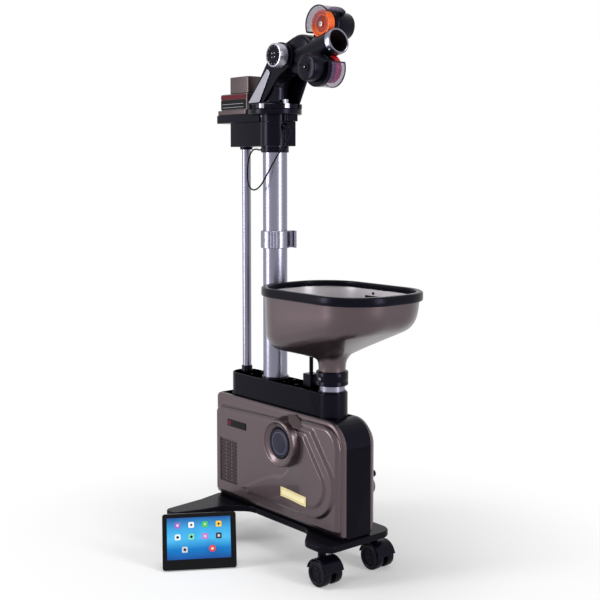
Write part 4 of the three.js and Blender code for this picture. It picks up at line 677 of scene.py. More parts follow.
def follow_slope(mesh, layers, side_sign):
    """Give every face of the relief the normals of the height it samples."""
    count = len(mesh.vertices)
    places = np.empty(count * 3)
    mesh.vertices.foreach_get("co", places)
    places = places.reshape(count, 3) / MM
    flat = np.column_stack([places[:, 0] - AXIS[0] / MM, places[:, 2]])
    step = 0.35
    slope_x = relief_level(flat + (step, 0), layers) - relief_level(flat - (step, 0), layers)
    slope_z = relief_level(flat + (0, step), layers) - relief_level(flat - (0, step), layers)
    normals = np.column_stack([-slope_x, np.full(count, 2 * step * side_sign), -slope_z])
    normals /= np.linalg.norm(normals, axis=1)[:, None]
    corners = []
    for polygon in mesh.polygons:
        level_face = abs(polygon.normal.y) > 0.2
        for index in polygon.vertices:
            corners.append(tuple(normals[index]) if level_face else tuple(polygon.normal))
    mesh.normals_split_custom_set(corners)


def laid_on(name, layers, left, right, low, high, raise_by, material, steps=16):
    """A thin plate that follows the relief under it."""
    rings = []
    middle = (low + high) / 2
    for i in range(steps + 1):
        x = left + (right - left) * i / steps
        face = -SHELL_FACE - relief_level(np.array([(x, middle)]), layers)[0]
        front, back = face - raise_by, face + 1
        rings.append([(x, front, low), (x, front, high), (x, back, high), (x, back, low)])
    add(name, loft(rings, caps=True), material, "frame", angle=40)


def side_shells():
    rim = rounded([(-153.4, 84, 4), (253.4, 84, 4), (253.4, 302.4, 47.4), (-153.4, 302.4, 9.4)], 14)
    plateau = [(-146, 89.5, 10), (247.5, 89.5, 10), (247.5, 295, 43), (150, 294.5, 60), (60, 283, 60)]
    plateau = rounded(plateau + [(-146, 274.5, 12)], 14)
    cover = [
        (-96, 107, 5), (DRUM_X + 68, 107, 69), (DRUM_X + 68, 199, 66), (179, 286, 12), (108, 286, 5),
        (106, 172, 44), (60, 171, 50), (8, 151, 80), (-70, 111, 60),
    ]
    pan = [(60, 128, 5), (DRUM_X + 47, 128, 50), (DRUM_X + 47, 190, 46), (162, 273, 10), (60, 273, 5)]
    layers = [
        (rim, 4.6, 5, None),
        (plateau, 9.6, 8, None),
        (rounded(cover, 16), 6.2, 9, (20, 190, 0.1)),
        (rounded(pan, 16), 4.8, 8, (96, 170, 0)),
    ]
    relief_shell("near_shell_relief", layers, [rect(-127, 117, -67, 211, 2, 3)], "near_shell", -1)
    laid_on("gold_plate", layers, 82.5, 170, 131.6, 150.5, 0.9, GOLD)
    laid_on("gold_panel", layers, 88, 165, 136.6, 145.6, 1.2, GOLD_LIGHT)
    layers = [
        (rim, 4.6, 5, None),
        (plateau, 9.6, 6, None),
        (circle(49, DRUM_X, DRUM_Z, 72), 5.5, 5, None),
        (circle(44, DRUM_X, DRUM_Z, 72), 4.5, 6, None),
    ]
    relief_shell("far_shell_relief", layers, [], "far_shell", 1)
    lobe = [(0, 0), (19.2, 0), (19.2, 6.6), (18.2, 8.8), (16.2, 10.1), (13, 10.4), (0, 10.4)]
    turned("far_shell_lobe", lobe, 64, LACQUER, "frame", place=at(220, SHELL_FACE + 19, 164, "+y"))


side_shells()

# Vent: rows of six-sided holes in three fields between two bars
VENT_FIELDS = ((-126.2, -107.6), (-105.8, -87.6), (-85.8, -68))
VENT_DEPTH = 17.4
VENT_FIRST_ROW, VENT_TOP = 119.6, 209
VENT_PITCH, VENT_ROW = 4.3, 3.9
VENT_HOLE_RADIUS = 1.72


def vent_mesh():
    face = -SHELL_FACE - VENT_DEPTH
    holes = []
    for left, right in VENT_FIELDS:
        count = int((right - left) / VENT_PITCH)
        step = (right - left) / count
        row, z = 0, VENT_FIRST_ROW
        while z < VENT_TOP:
            odd = row % 2
            aside = step / 2 if odd else 0
            for i in range(count - odd):
                x = left + step / 2 + aside + i * step
                holes.append(circle(VENT_HOLE_RADIUS, x, z, 6, pi / 6))
            z += VENT_ROW
            row += 1
    mesh = plate(rect(-127.2, 116.8, -66.8, 211.2), holes, face, face + 1.6, "y")
    add("vent_honeycomb", mesh, (BRONZE_DARK, "black_plastic"), "frame", "vent_grille")
    # Painted shade: a dark sheet behind the honeycomb stands for the shade inside the vent
    back = brick(-128.5, face + 4.5, 115.5, -65.5, face + 5.5, 212.5)
    add("vent_backing_shade", back, (HOLE_SHADE, "black_plastic"), "frame")
    for name, x in (("vent_bar_107", -106.7), ("vent_bar_87", -86.7)):
        bar = rounded([(x - 0.9, 117), (x + 0.9, 117), (x + 0.9, 211), (x - 0.9, 211)])
        slab(name, bar, face - 0.5, face + 1.8, "y", BRONZE, "frame", bevel=(0.3, 2))


vent_mesh()


def badge_boss():
    profile = [
        (51.5, 16), (50.6, 20.6), (49.4, 23.5), (47.6, 33), (46.6, 39.4), (45.6, 42.2), (44, 43.4),
        (42.6, 43.4), (41.4, 42.6), (40.6, 41.4), (36, 40), (31.8, 38), (30.8, 36.8), (30.2, 35),
        (29.4, 33.6), (0, 33.4),
    ]
    place = at(BOSS_X, -SHELL_FACE, BOSS_Z, "-y")
    turned("boss_ring", profile, 96, LACQUER, "frame", place=place, angle=60)
    face = [(0, 2.4), (25.2, 2.4), (26, 2.1), (26.4, 3), (28, 3), (28.5, 2.4), (28.5, 0), (0, 0)]
    seat = at(BOSS_X, -SHELL_FACE - MEDALLION_SEAT, BOSS_Z, "-y")
    turned("medallion_disc", face, 96, (MEDALLION, "black_plastic"), "frame", "medallion", place=seat)
    line = [(20.6, 2.3), (20.8, 2.75), (22, 2.75), (22.2, 2.3)]
    turned("medallion_line", line, 96, MEDALLION_RING, "frame", place=seat)
    # Painted shade: a facet in the duller case finish, put beside the boss for the shadow there
    corners = [(92, 296), (118, 300), (152, 284), (143, 277), (131, 279), (116, 289)]
    depths = (14, 11, 19.6, 25, 30, 31)
    count = len(corners)
    verts = [(x, -SHELL_FACE - h, z) for (x, z), h in zip(corners, depths)]
    verts += [(x, -SHELL_FACE - 6, z) for x, z in corners]
    faces = [tuple(range(count))]
    faces += [(i, (i + 1) % count, count + (i + 1) % count, count + i) for i in range(count)]
    add("boss_shade_facet", (verts, faces), CASE, "frame", bevel=1.2)


badge_boss()


def bare_plates():
    plates = (
        ("badge_plate", (-99, 240, -36, 254.5), 20.2, 18.6, GLASS_BLACK, (0.4, 2)),
        ("badge_corner", (-97, 242.5, -86, 252), 20.5, 20, RED_BAND, (0.2, 1)),
    )
    for name, sides, front, back, material, bevel in plates:
        outline = rect(*sides, 1, 3)
        slab(name, outline, -SHELL_FACE - front, -SHELL_FACE - back, "y", material, "frame", bevel=bevel)
    cap = [(0, 10), (4.6, 10), (6.4, 9.4), (7, 7.8), (7, 0), (0, 0)]
    place = at(232.5, SHELL_FACE + 19.3, 189.6, "+y")
    turned("far_cap_round", cap, 40, PLASTIC, "frame", "far_cap", place=place)


bare_plates()


# Core frame, deck and base
def core_and_deck():
    def ring(grow, rear, front, foot):
        low, high, left, right = 79.3 - grow, 303 + grow, -154 - grow, 254 + grow
        return rounded([(left, low, foot), (right, low, foot), (right, high, front), (left, high, rear)], 14)

    band = plate(ring(0, 10, 48, 3), [ring(-4, 6, 44, 2)], -31, 31, "y")
    add("core_band", band, PLASTIC, "frame", bevel=1)
    deck = stadium(CABLE_TUBE_X, HOPPER_X, 30.5)
    slab("deck_block", deck, 303.3, DECK_TOP, "z", PLASTIC, "frame", bevel=(2.2, 4))
    for name, x, first in (("deck_foot_1", HOPPER_X, -pi / 2), ("deck_foot_2", CABLE_TUBE_X, pi / 2)):
        flange = lathe([(29.8, 0), (31.3, 0), (31.3, 2.2), (29.8, 2.6)], 48, True, first, pi)
        add(name, flange, BLACK, "frame", place=at(x, 0, 303.4), angle=50)
    screws = ((45, 14), (45, -14), (85, 14), (85, -14), (137, 19), (137, -19), (-62, 15), (-62, -15))
    for i, (x, y) in enumerate(screws):
        screw_head(f"deck_screw_{i + 1}", at(x, y, DECK_TOP - 0.1), 3.2, "frame", BLACK_SATIN, 1.2)


core_and_deck()

BASE_LOW, BASE_HIGH = 66, 79


def base_parts():
    front = [(-18, -39), (150, -39, 34), (198, -89, 24), (261, -89, 30)]
    rear = [
        (-153, -39, 18), (-141, -92, 60), (-132, -190, 15), (-100, -190, 15), (-80, -128, 60),
        (-70, -78, 50), (-36, -39, 34), (-18.3, -39),
    ]
    for name, near, plate_name in (
        ("base_plate_front", front, "base_plate"),
        ("rear_arm", rear, "rear_crossbar"),
    ):
        outline = rounded(mirrored(near), 14)
        slab(name, outline, BASE_LOW, BASE_HIGH, "z", PAINTED, "frame", plate_name, bevel=(3.2, 4))
    rib = rect(-143, -96, -90, 96, 14)
    slab("rear_arm_rib", rib, BASE_LOW - 7, BASE_LOW + 1, "z", PAINTED, "frame", bevel=2.5)


base_parts()

# Casters
SWIVEL_OFFSET = 10
AXLE_HEIGHT = 25 * cos(pi / 20)
FENDER_OUTER, FENDER_INNER = 29, 26.6
FENDER_SPAN = (radians(12), radians(168))
SPOKES = 5


def caster(place, x, y):
    body = "caster_" + place
    wheels = "wheels_" + place
    centre = at(x + SWIVEL_OFFSET, y, AXLE_HEIGHT)
    half = [
        (0, 20.6), (5.5, 20.6), (6.5, 19.6), (15.5, 19.6), (17, 21.6), (18.2, 22.6), (21.8, 22.6),
        (24, 21.8), (24.69, 19.6), (24.69, 8.6), (24, 6.3), (21.8, 5.7), (3, 5.7),
    ]
    profile = half + [(r, -z) for r, z in reversed(half)]
    tyre = (TYRE, "caster_rubber")
    axle = centre @ TURN["-y"]
    turned("twin_wheels_" + place, profile, 64, tyre, wheels, "caster_wheels_" + place, place=axle, angle=42)
    for label, toward in (("a", "-y"), ("b", "+y")):
        for k in range(SPOKES):
            local = centre @ TURN[toward] @ Matrix.Rotation(2 * pi * k / SPOKES + 0.3, 4, "Z")
            spoke = brick(6.8, -0.8, 19.5, 16, 0.8, 20.5)
            add(f"spoke_{place}_{label}_{k}", spoke, TYRE, wheels, place=local, bevel=(0.3, 1))
    first, last = FENDER_SPAN
    fender = arc(FENDER_OUTER, first, last, steps=28) + arc(FENDER_INNER, last, first, steps=28)
    hood = "caster_hood_" + place
    slab("fender_" + place, fender, -22.6, 22.6, "y", PLASTIC, body, hood, place=centre, bevel=0.9)
    web = arc(FENDER_OUTER - 0.4, first, last, steps=28) + [(-9, -9), (9, -9)]
    slab("fork_" + place, web, -4.5, 4.5, "y", PLASTIC, body, place=centre, bevel=(0.8, 2))
    top = BASE_LOW - 0.3 - AXLE_HEIGHT
    barrel = [(0, 24), (8, 24), (8, top - 3), (9.5, top - 2.4), (9.5, top - 0.6), (8.8, top), (0, top)]
    swivel = centre @ shift(-SWIVEL_OFFSET, 0, 0)
    turned("swivel_" + place, barrel, 40, PLASTIC, body, place=swivel)
    stem = [(0, top - 1), (4.9, top - 1), (4.9, top + 6), (0, top + 6)]
    turned("stem_" + place, stem, 24, STEEL, body, place=swivel)


caster("front_near", 225, -68)
caster("front_far", 225, 68)
caster("rear_near", -118, -163)
caster("rear_far", -118, 163)


# Tubes, collars and clip
def tube_profile(radius, bore, low, high, edge=0.8):
    foot = [(bore, low + edge), (bore + edge, low), (radius - edge, low), (radius, low + edge)]
    head = [(radius, high - edge), (radius - edge, high), (bore + edge, high), (bore, high - edge)]
    return foot + head


def tubes():
    for name, profile, sides, x, node_name in (
        ("tower_tube_round", tube_profile(25, 22, 303.6, 902), 72, 0, "tower_tube"),
        ("hopper_tube_round", tube_profile(25, 22, 303.6, 372), 72, HOPPER_X, "hopper_tube"),
        ("cable_tube_round", tube_profile(9.25, 7.5, 321, 849.7, 0.4), 48, CABLE_TUBE_X, "cable_tube"),
    ):
        turned(name, profile, sides, CHROME, "frame", node_name, place=at(x, 0, 0))
    shoe = [(9.5, 351.3), (11.5, 351.3), (11.5, 362.4), (10.9, 363.6), (9.9, 364.3), (9.5, 364.3)]
    cuff = [(9.5, 824.7), (12.7, 824.7), (13.5, 825.5), (13.5, 829.7), (9.5, 829.7)]
    tower_foot = [(25.2, 351.2), (28.2, 351.2), (28.2, 354.6), (27.4, 356), (25.2, 356)]
    hopper_foot = [(25.2, 351.2), (27.6, 351.2), (27.6, 352.8), (27, 353.6), (25.2, 353.6)]
    for name, profile, sides, x, node_name in (
        ("cable_tube_shoe", shoe, 48, CABLE_TUBE_X, "cable_tube_foot"),
        ("cable_tube_cuff", cuff, 48, CABLE_TUBE_X, "cable_tube_cap"),
        ("tower_foot_ring", tower_foot, 64, 0, None),
        ("hopper_foot_ring", hopper_foot, 64, HOPPER_X, None),
    ):
        turned(name, profile, sides, PLASTIC, "frame", node_name, place=at(x, 0, 0))


tubes()


def clip_parts():
    low, high = 622, 657
    ring = [(25.4, low), (28.9, low), (29.6, low + 0.8), (29.6, high - 0.8), (28.9, high), (25.4, high)]
    turned("clip_ring", ring, 96, CHROME, "frame", "tower_clip")
    first, last = radians(-48), radians(205)
    hook = arc(11.3, first, last, 33, 0, 28) + arc(8.1, last, first, 33, 0, 28)
    slab("clip_hook", hook, low, high, "z", CHROME, "frame", place=spin(48), bevel=(0.7, 2))
    rib = rounded([(28.6, -1.1, 0.5), (31.2, -1.1, 0.9), (31.2, 1.1, 0.9), (28.6, 1.1, 0.5)], 3)
    for k in range(5):
        turn = spin(-66 + 11 * k)
        slab(f"clip_rib_{k + 1}", rib, low, high, "z", SILVER, "frame", place=turn, bevel=(0.3, 1))
    screw_head("clip_screw", at(0, -29.6, 639.5, "-y"), 2.6, "frame")


clip_parts()


def collar_parts():
    ring = [(25.3, 817.2), (27.4, 817.2), (28.5, 818.4), (28.5, 828.4), (27.9, 829.6), (25.3, 829.6)]
    turned("tower_collar_ring", ring, 96, PLASTIC, "frame", "tower_collar")
    grommet = [(0, 26), (4.4, 26), (4.4, 29.6), (3.9, 30.4), (3.2, 32.4), (0, 32.4)]
    place = shift(0, 0, 823) @ spin(204) @ TURN["+x"]
    turned("cable_grommet", grommet, 28, RUBBER, "frame", place=place)


collar_parts()

# Hopper: rings of a rounded rectangle that run down into the round neck
H_CENTRE, H_HALF, H_WIDE, H_CORNER = 200.9, 155.9, 111, 88


def hopper_ring(inset, level, corner_steps=12, straight=10):
    points = []
    for quarter, (sx, sy) in enumerate(((1, 1), (-1, 1), (-1, -1), (1, -1))):
        cx, cy = sx * (H_HALF - H_CORNER), sy * (H_WIDE - H_CORNER)
        for i in range(corner_steps + 1):
            angle = (quarter + i / corner_steps) * pi / 2
            points.append((cx + (H_CORNER - inset) * cos(angle), cy + (H_CORNER - inset) * sin(angle)))
        for i in range(1, straight):
            share = 1 - 2 * i / straight
            if quarter % 2:
                points.append((sx * (H_HALF - inset), share * (H_WIDE - H_CORNER) * sy))
            else:
                points.append((share * (H_HALF - H_CORNER) * sx, sy * (H_WIDE - inset)))
    return [(H_CENTRE + x, y, level(H_CENTRE + x)) for x, y in points]


def edge_height(x):
    """Height of the bowl's lower edge, which rises away from the tower."""
    share = min(1, max(0, (x - 105) / 230))
    return 432.5 + 53.5 * share**1.1


def neck_ring(radius, z, tilt=0):
    ring = []
    for x, y, _ in hopper_ring(0, lambda _: 0):
        angle = math.atan2(y / H_WIDE, (x - H_CENTRE) / H_HALF)
        ring.append((HOPPER_X + radius * cos(angle), radius * sin(angle), z + tilt * cos(angle)))
    return ring


def mix_rings(a, b, share, drop=0):
    rings = []
    for one, two in zip(a, b):
        x, y, z = (p + (q - p) * share for p, q in zip(one, two))
        rings.append((x, y, z - drop))
    return rings


def bowl_rings(thin):
    """Rings from the rim down to the neck, moved inward by the wall's thickness."""
    rings = [hopper_ring(inset + thin, lambda _, z=z: z) for inset, z in ((0, 550.2), (0.8, 543), (2, 535))]
    rings.append(hopper_ring(3.4 + thin, lambda x: 0.5 * (535 + edge_height(x) + 26)))
    for inset, rise, part in (
        (5, 29, 0), (7.4, 20, 0), (11, 12.6, 1 / 3), (15.6, 6.8, 0.6), (20.6, 2.6, 0.8), (26.6, -0.6, 1),
        (34, -3, 1),
    ):
        rings.append(hopper_ring(inset + thin, lambda x, up=rise + thin * part: edge_height(x) + up))
    floor_ring = rings[-1]
    flare = neck_ring(39 - thin, 422.5 + thin, 6)
    rings += [mix_rings(floor_ring, flare, *mix) for mix in ((0.33,), (0.66,), (0.86, 0.6))]
    for radius, narrower, z, higher, tilt in (
        (38, 1, 421.4, 0.9, 5.2), (33, 1, 417.4, 0.7, 2.6), (29.4, 1, 412.8, 0.5, 0.8),
        (27.2, 1.2, 406, 0, 0), (26.5, 1.4, 396, 0, 0), (26.5, 1.5, 376, 0, 0),
    ):
        rings.append(neck_ring(radius - thin * narrower, z + thin * higher, tilt))
    return rings


BOWL_WALL = 3
BOWL_INSIDE_METRES = 0.411
STAY_X = 114.5


def bowl():
    shape = loft(bowl_rings(0) + list(reversed(bowl_rings(BOWL_WALL))), closed=True)
    made = add("hopper_bowl_smooth", shape, LACQUER, "hopper", "hopper_bowl", angle=60)
    made.data.materials.append(INSIDE)
    middle = spot(H_CENTRE, 0, 0)
    for polygon in made.data.polygons:
        inward = Vector((middle.x - polygon.center.x, middle.y - polygon.center.y, 0.06))
        if polygon.normal.dot(inward) > 0 and polygon.center.z > BOWL_INSIDE_METRES:
            polygon.material_index = 1


def hopper():
    bowl()
    section = [
        (-4.6, 540.4), (-4.6, 551.6), (-3.9, 553.6), (-2.2, 554.8), (0, 555), (6, 555), (7.6, 554.4),
        (8.4, 553), (8.6, 551), (8.6, 545.6), (7.6, 543.4), (6, 543.2), (4.6, 543.6), (3.7, 550.5),
        (-0.3, 550.5), (-0.3, 537.8), (-2.4, 537.8), (-4, 538.6),
    ]
    rim = loft([hopper_ring(inset, lambda _, z=z: z, 14, 6) for inset, z in section], closed=True)
    add("hopper_rim_roll", rim, (RUBBER, "rim_rubber"), "hopper", "hopper_rim", angle=50)
    collar = [
        (25.3, 364.6), (30.4, 364.6), (31.5, 365.8), (31.5, 371.4), (31, 372), (31, 373), (31.5, 373.6),
        (31.5, 390), (30.8, 391.4), (29.6, 392), (27.2, 392), (27.2, 375), (25.3, 372.4),
    ]
    place = at(HOPPER_X, 0, 0)
    turned("hopper_collar_ring", collar, 96, PLASTIC, "hopper", "hopper_collar", place=place, angle=40)
    screw_head("collar_screw", at(HOPPER_X, -31.3, 379, "-y"), 3, "hopper")
    stay = (BLACK_SATIN, "bare_steel")
    rod = soft_pin(4, 59.6, 0.5)
    turned("stay_rod_round", rod, 32, stay, "hopper", "stay_rod", place=at(STAY_X, 0, 357.6))
    slab("bowl_sticker", rect(159, 519, 195, 530, 1, 3), 104.8, 106.4, "y", GLASS_BLACK, "hopper")
    turned("bowl_pin", soft_pin(2.6, 1.6, 0.6), 24, BLACK_SATIN, "hopper", place=at(181, 105.9, 535, "-y"))
    boss = [(0, 0), (7, 0), (8, 1), (8, 12.4), (0, 12.4)]
    turned("stay_boss", boss, 32, BRONZE, "hopper", place=at(STAY_X, 0, 411.7))
    socket = rect(STAY_X - 12.5, -12.5, STAY_X + 12.5, 12.5, 3, 6)
    slab("stay_socket_block", socket, 351.3, 377.3, "z", PLASTIC, "frame", "stay_socket", bevel=1.4)


hopper()


# Head block, plate and control box
BLOCK_LOW, BLOCK_HIGH = 830, 880
PLATE_LOW, PLATE_HIGH = 880.3, 897.3
TUBE_CLEAR = 25.3


def block_and_plate():
    outline = [(-118, -28, 4), (0, -28, 1), (0, -4, 1), (35, -4, 4), (35, 28, 4), (-118, 28, 4)]
    outline = rounded(outline, 6)
    slab("block_body", outline, BLOCK_LOW, BLOCK_HIGH, "z", PLASTIC, "frame", "head_block", bevel=1.8)
    boss = [(TUBE_CLEAR, BLOCK_LOW), (29.6, BLOCK_LOW), (30.6, 831), (30.6, 879.6), (30.2, BLOCK_HIGH)]
    boss.append((TUBE_CLEAR, BLOCK_HIGH))
    turned("block_boss", boss, 96, PLASTIC, "frame")
    outline = [(-165, -29.5, 5), (-15, -29.5, 1), (-15, -4, 1), (41, -4, 4), (41, 29.5, 6), (-165, 29.5, 5)]
    outline = rounded(outline, 8)
    plate_shape = prism(outline, PLATE_LOW, PLATE_HIGH)
    add("swing_plate_block", plate_shape, BLACK_METAL, "frame", "swing_plate", bevel=1.6)
    neck = [(TUBE_CLEAR, PLATE_LOW), (30.2, PLATE_LOW), (30.6, 880.8), (30.6, 894.4), (TUBE_CLEAR, 894.4)]
    turned("plate_neck", neck, 96, BLACK_METAL, "frame")
    well = [
        (TUBE_CLEAR, 893.9), (53.6, 893.9), (54.9, 895.2), (54.9, 903.8), (54, 904.7), (52.8, 904.7),
        (52.8, PLATE_HIGH), (TUBE_CLEAR, PLATE_HIGH),
    ]
    turned("gear_well", well, 96, BLACK_METAL, "frame", angle=36)


def control_box():
    for name, sides, low, high, node_name, bevel in (
        ("case_flange", (-165, -26, -65, 26), 897.6, 907.6, None, 1.4),
        ("case_body", (-158, -22, -65, 22), 906, 941.6, "control_case", 1.6),
        ("case_lid", (-130, -19, -65, 19), 941.9, 976.9, "control_lid", 1.6),
    ):
        slab(name, rect(*sides, 4, 6), low, high, "z", CASE, "frame", node_name, bevel=bevel)
    for name, low, high, material in (
        ("label_black", 909.5, 929.5, GLASS_BLACK),
        ("label_red", 930.5, 939.5, RED_BAND),
    ):
        label = rect(-156, low, -69, high, 1, 3)
        slab(name, label, -23.2, -21.5, "y", material, "frame", bevel=(0.4, 1))
    for name, z in (("label_line_1", 913), ("label_line_2", 920)):
        slab(name, rect(-150, z, -76, z + 1), -23.6, -23, "y", STEEL, "frame")


def head_fittings():
    screw_head("block_screw_1", at(22, -4, 867, "-y"), 3.2, "frame", BLACK_SATIN)
    for name, degrees, z in (("neck_pin_1", -101, 891), ("neck_pin_2", 19, 886)):
        place = spin(degrees) @ shift(30.2, 0, z) @ TURN["+x"]
        turned(name, soft_pin(2.7, 2, 0.7), 24, STEEL, "frame", place=place)
    nose = [(0, -4), (5.4, -4), (5.4, 5), (4.2, 6), (4.2, 9), (3.1, 10), (2.4, 14), (0, 14)]
    place = shift(35.3, -2, 870.5) @ spin(35, "Y") @ TURN["+x"]
    turned("cable_gland_nose", nose, 28, (RUBBER, "black_plastic"), "frame", "cable_gland", place=place)


block_and_plate()
control_box()
head_fittings()

# Turning head: its disc, its elbow, the pivot, the drop of the throwing tube below it and the two wheels
DISC_LOW, DISC_HIGH = 905, 914.6
ELBOW_RADIUS, ELBOW_BEND = 26, 50
CHEEK_LOW = 914.9
PIVOT_X, PIVOT_Z = 59, 1007
PITCH = radians(13)
DROP = -11
WHEEL_X = 100
WHEEL_RADIUS = 27
HALF_GRIP = 17.85
TOP_Z = DROP + HALF_GRIP + WHEEL_RADIUS
LOW_Z = DROP - HALF_GRIP - WHEEL_RADIUS
HEAD = shift(PIVOT_X, 0, PIVOT_Z) @ Matrix.Rotation(-PITCH, 4, "Y")


def elbow():
    """The bent pipe from the turntable to the throwing tube."""

    def axis_line(x):
        return PIVOT_Z + DROP / cos(PITCH) + (x - PIVOT_X) * math.tan(PITCH)

    turn = pi / 2 - PITCH
    bend_z = axis_line(ELBOW_BEND * (1 - cos(turn))) - ELBOW_BEND * sin(turn)

    def on_bend(share):
        return ELBOW_BEND * (1 - cos(turn * share)), 0, bend_z + ELBOW_BEND * sin(turn * share)

    path = [(0, 0, 915), (0, 0, 925), (0, 0, bend_z)]
    path += [on_bend(i / 20) for i in range(1, 21)]
    path.append((PIVOT_X - 10, 0, axis_line(PIVOT_X - 10)))
    pipe = (BLACK_PIPE, "black_plastic")
    add("elbow_tube", sweep_tube(path, ELBOW_RADIUS, 56), pipe, "turret", "head_bracket")
    band = [(25, -1.2), (27, -1.2), (27.4, 0), (27, 1.2), (25, 1.2)]
    for name, share in (("elbow_band_1", 0.2), ("elbow_band_2", 0.5), ("elbow_band_3", 0.8)):
        place = shift(*on_bend(share)) @ Matrix.Rotation(turn * share, 4, "Y")
        turned(name, band, 64, BLACK_SATIN, "turret", place=place)


def bracket():
    top = [(80, 990, 18), (84, 1007, 24), (72, 1034, 24), (38, 1034, 24), (28, 1016, 24)]
    near = [(-49, CHEEK_LOW, 2), (-2, CHEEK_LOW, 2), (44, 962, 4), *top]
    far = [(-49, CHEEK_LOW, 2), (42, CHEEK_LOW, 2), (64, 956, 10), *top]
    for name, outline, low, high in (("cheek_near", near, -32, -26.3), ("cheek_far", far, 26.3, 32)):
        slab(name, rounded(outline, 12), low, high, "y", PLASTIC, "turret", bevel=1.2)
    strap = rounded([(-45, 918.5, 1), (-9, 918.5, 1), (26.5, 976, 2), (17.5, 984, 2)], 4)
    bright = (SILVER_PLATE, "silver_tube")
    for name, low, high in (("near", -34.7, -32.3), ("far", 32.3, 34.7)):
        slab("strap_" + name, strap, low, high, "y", bright, "turret", name + "_gusset", bevel=(0.5, 2))


def turret():
    disc = [
        (22, DISC_LOW), (54, DISC_LOW), (55, DISC_LOW + 1), (55, DISC_HIGH - 1.6), (53.6, DISC_HIGH),
        (22, DISC_HIGH),
    ]
    turned("turntable_disc", disc, 96, PLASTIC, "turret", angle=36)
    flange = [(0, 914.9), (33, 914.9), (33, 917.8), (32, 918.9), (0, 918.9)]
    turned("elbow_flange", flange, 80, PLASTIC, "turret")
    elbow()
    bracket()
    pad = rounded([(-0.6, -5.5, 0.3), (1.2, -5.5, 0.6), (1.2, 5.5, 0.6), (-0.6, 5.5, 0.3)], 3)
    lug = rect(33, -5, 41, 5, 1, 3)
    stop = rounded([(54, -7, 1), (57.5, -7, 1.5), (57.5, 7, 1.5), (54, 7, 1)], 3)
    at_rim, at_axis = shift(55, 0, 909.8), shift(0, 0, 0)
    for name, shape, low, high, material, width, seat, turns in (
        ("disc_pad", pad, -4.4, 4.6, SILVER_PLATE, 0.4, at_rim, (-67.5, -12.5, 112.5, 167.5)),
        ("disc_lug", lug, 914.7, 924, STEEL, 0.6, at_axis, (-4, 176)),
        ("disc_stop", stop, 905.4, 914.4, BLACK_SATIN, 0.6, at_axis, (27, -107)),
    ):
        for k, degrees in enumerate(turns):
            looks = {"place": spin(degrees) @ seat, "bevel": (width, 2)}
            slab(f"{name}_{k + 1}", shape, low, high, "z", material, "turret", **looks)


turret()


def on_head(x, y, z, toward="+z"):
    return HEAD @ at(x, y, z, toward)


# Angles over which each wheel is covered, and the depths of the motor cup that covers its back
SPAN = {"top": (radians(28), radians(190)), "low": (radians(-150), radians(4))}
CUP_INSIDE, CUP_OUTSIDE = 27.6, 35


def wheel_band(span, z, outer, inner):
    start, end = SPAN[span]
    return arc(outer, start, end, WHEEL_X, z) + arc(inner, end, start, WHEEL_X, z)


def span_ends(span, z, radius):
    """The place of each end of a band, with its X axis along the radius."""
    for label, angle in zip("ab", SPAN[span]):
        centre = (WHEEL_X + radius * cos(angle), 0, z + radius * sin(angle))
        yield label, HEAD @ shift(*centre) @ Matrix.Rotation(-angle, 4, "Y")


def motor_cup(name, z, side):
    for part, outer, inner, inside, outside in (
        ("rim", 35.8, 34.2, CUP_INSIDE, CUP_OUTSIDE),
        ("wall", 35.4, 26.4, CUP_INSIDE, CUP_INSIDE + 1.6),
        ("end", 35.4, 26.4, CUP_OUTSIDE - 2, CUP_OUTSIDE),
    ):
        low, high = sorted((inside * side, outside * side))
        band = wheel_band(name, z, outer, inner)
        slab(f"{name}_cup_{part}", band, low, high, "y", PLASTIC, "thrower", place=HEAD, bevel=(0.5, 2))
    low, high = sorted((CUP_INSIDE * side, CUP_OUTSIDE * side))
    bar = rect(-5, low + 0.4, 5, high - 0.4)
    for label, place in span_ends(name, z, 30.8):
        slab(f"{name}_cup_lip_{label}", bar, -0.9, 0.9, "z", BLACK, "thrower", place=place, bevel=(0.3, 2))


def mount(name, z, side):
    low, high = sorted((10.8 * side, 13.8 * side))
    arm_z = DROP + 16 * side
    left, right = 38, WHEEL_X
    arm = [(left, arm_z - 16, 2), (right, min(z, arm_z) - 14, 2)]
    arm += [(right, max(z, arm_z) + 8, 2), (left, arm_z + 16, 2)]
    looks = {"place": HEAD, "bevel": (0.7, 2)}
    slab("mount_disc_" + name, circle(25, WHEEL_X, z, 64), low, high, "y", PLASTIC, "thrower", **looks)
    slab("mount_arm_" + name, rounded(arm, 4), low, high, "y", BLACK, "thrower", **looks)
    motor_cup(name, z, side)


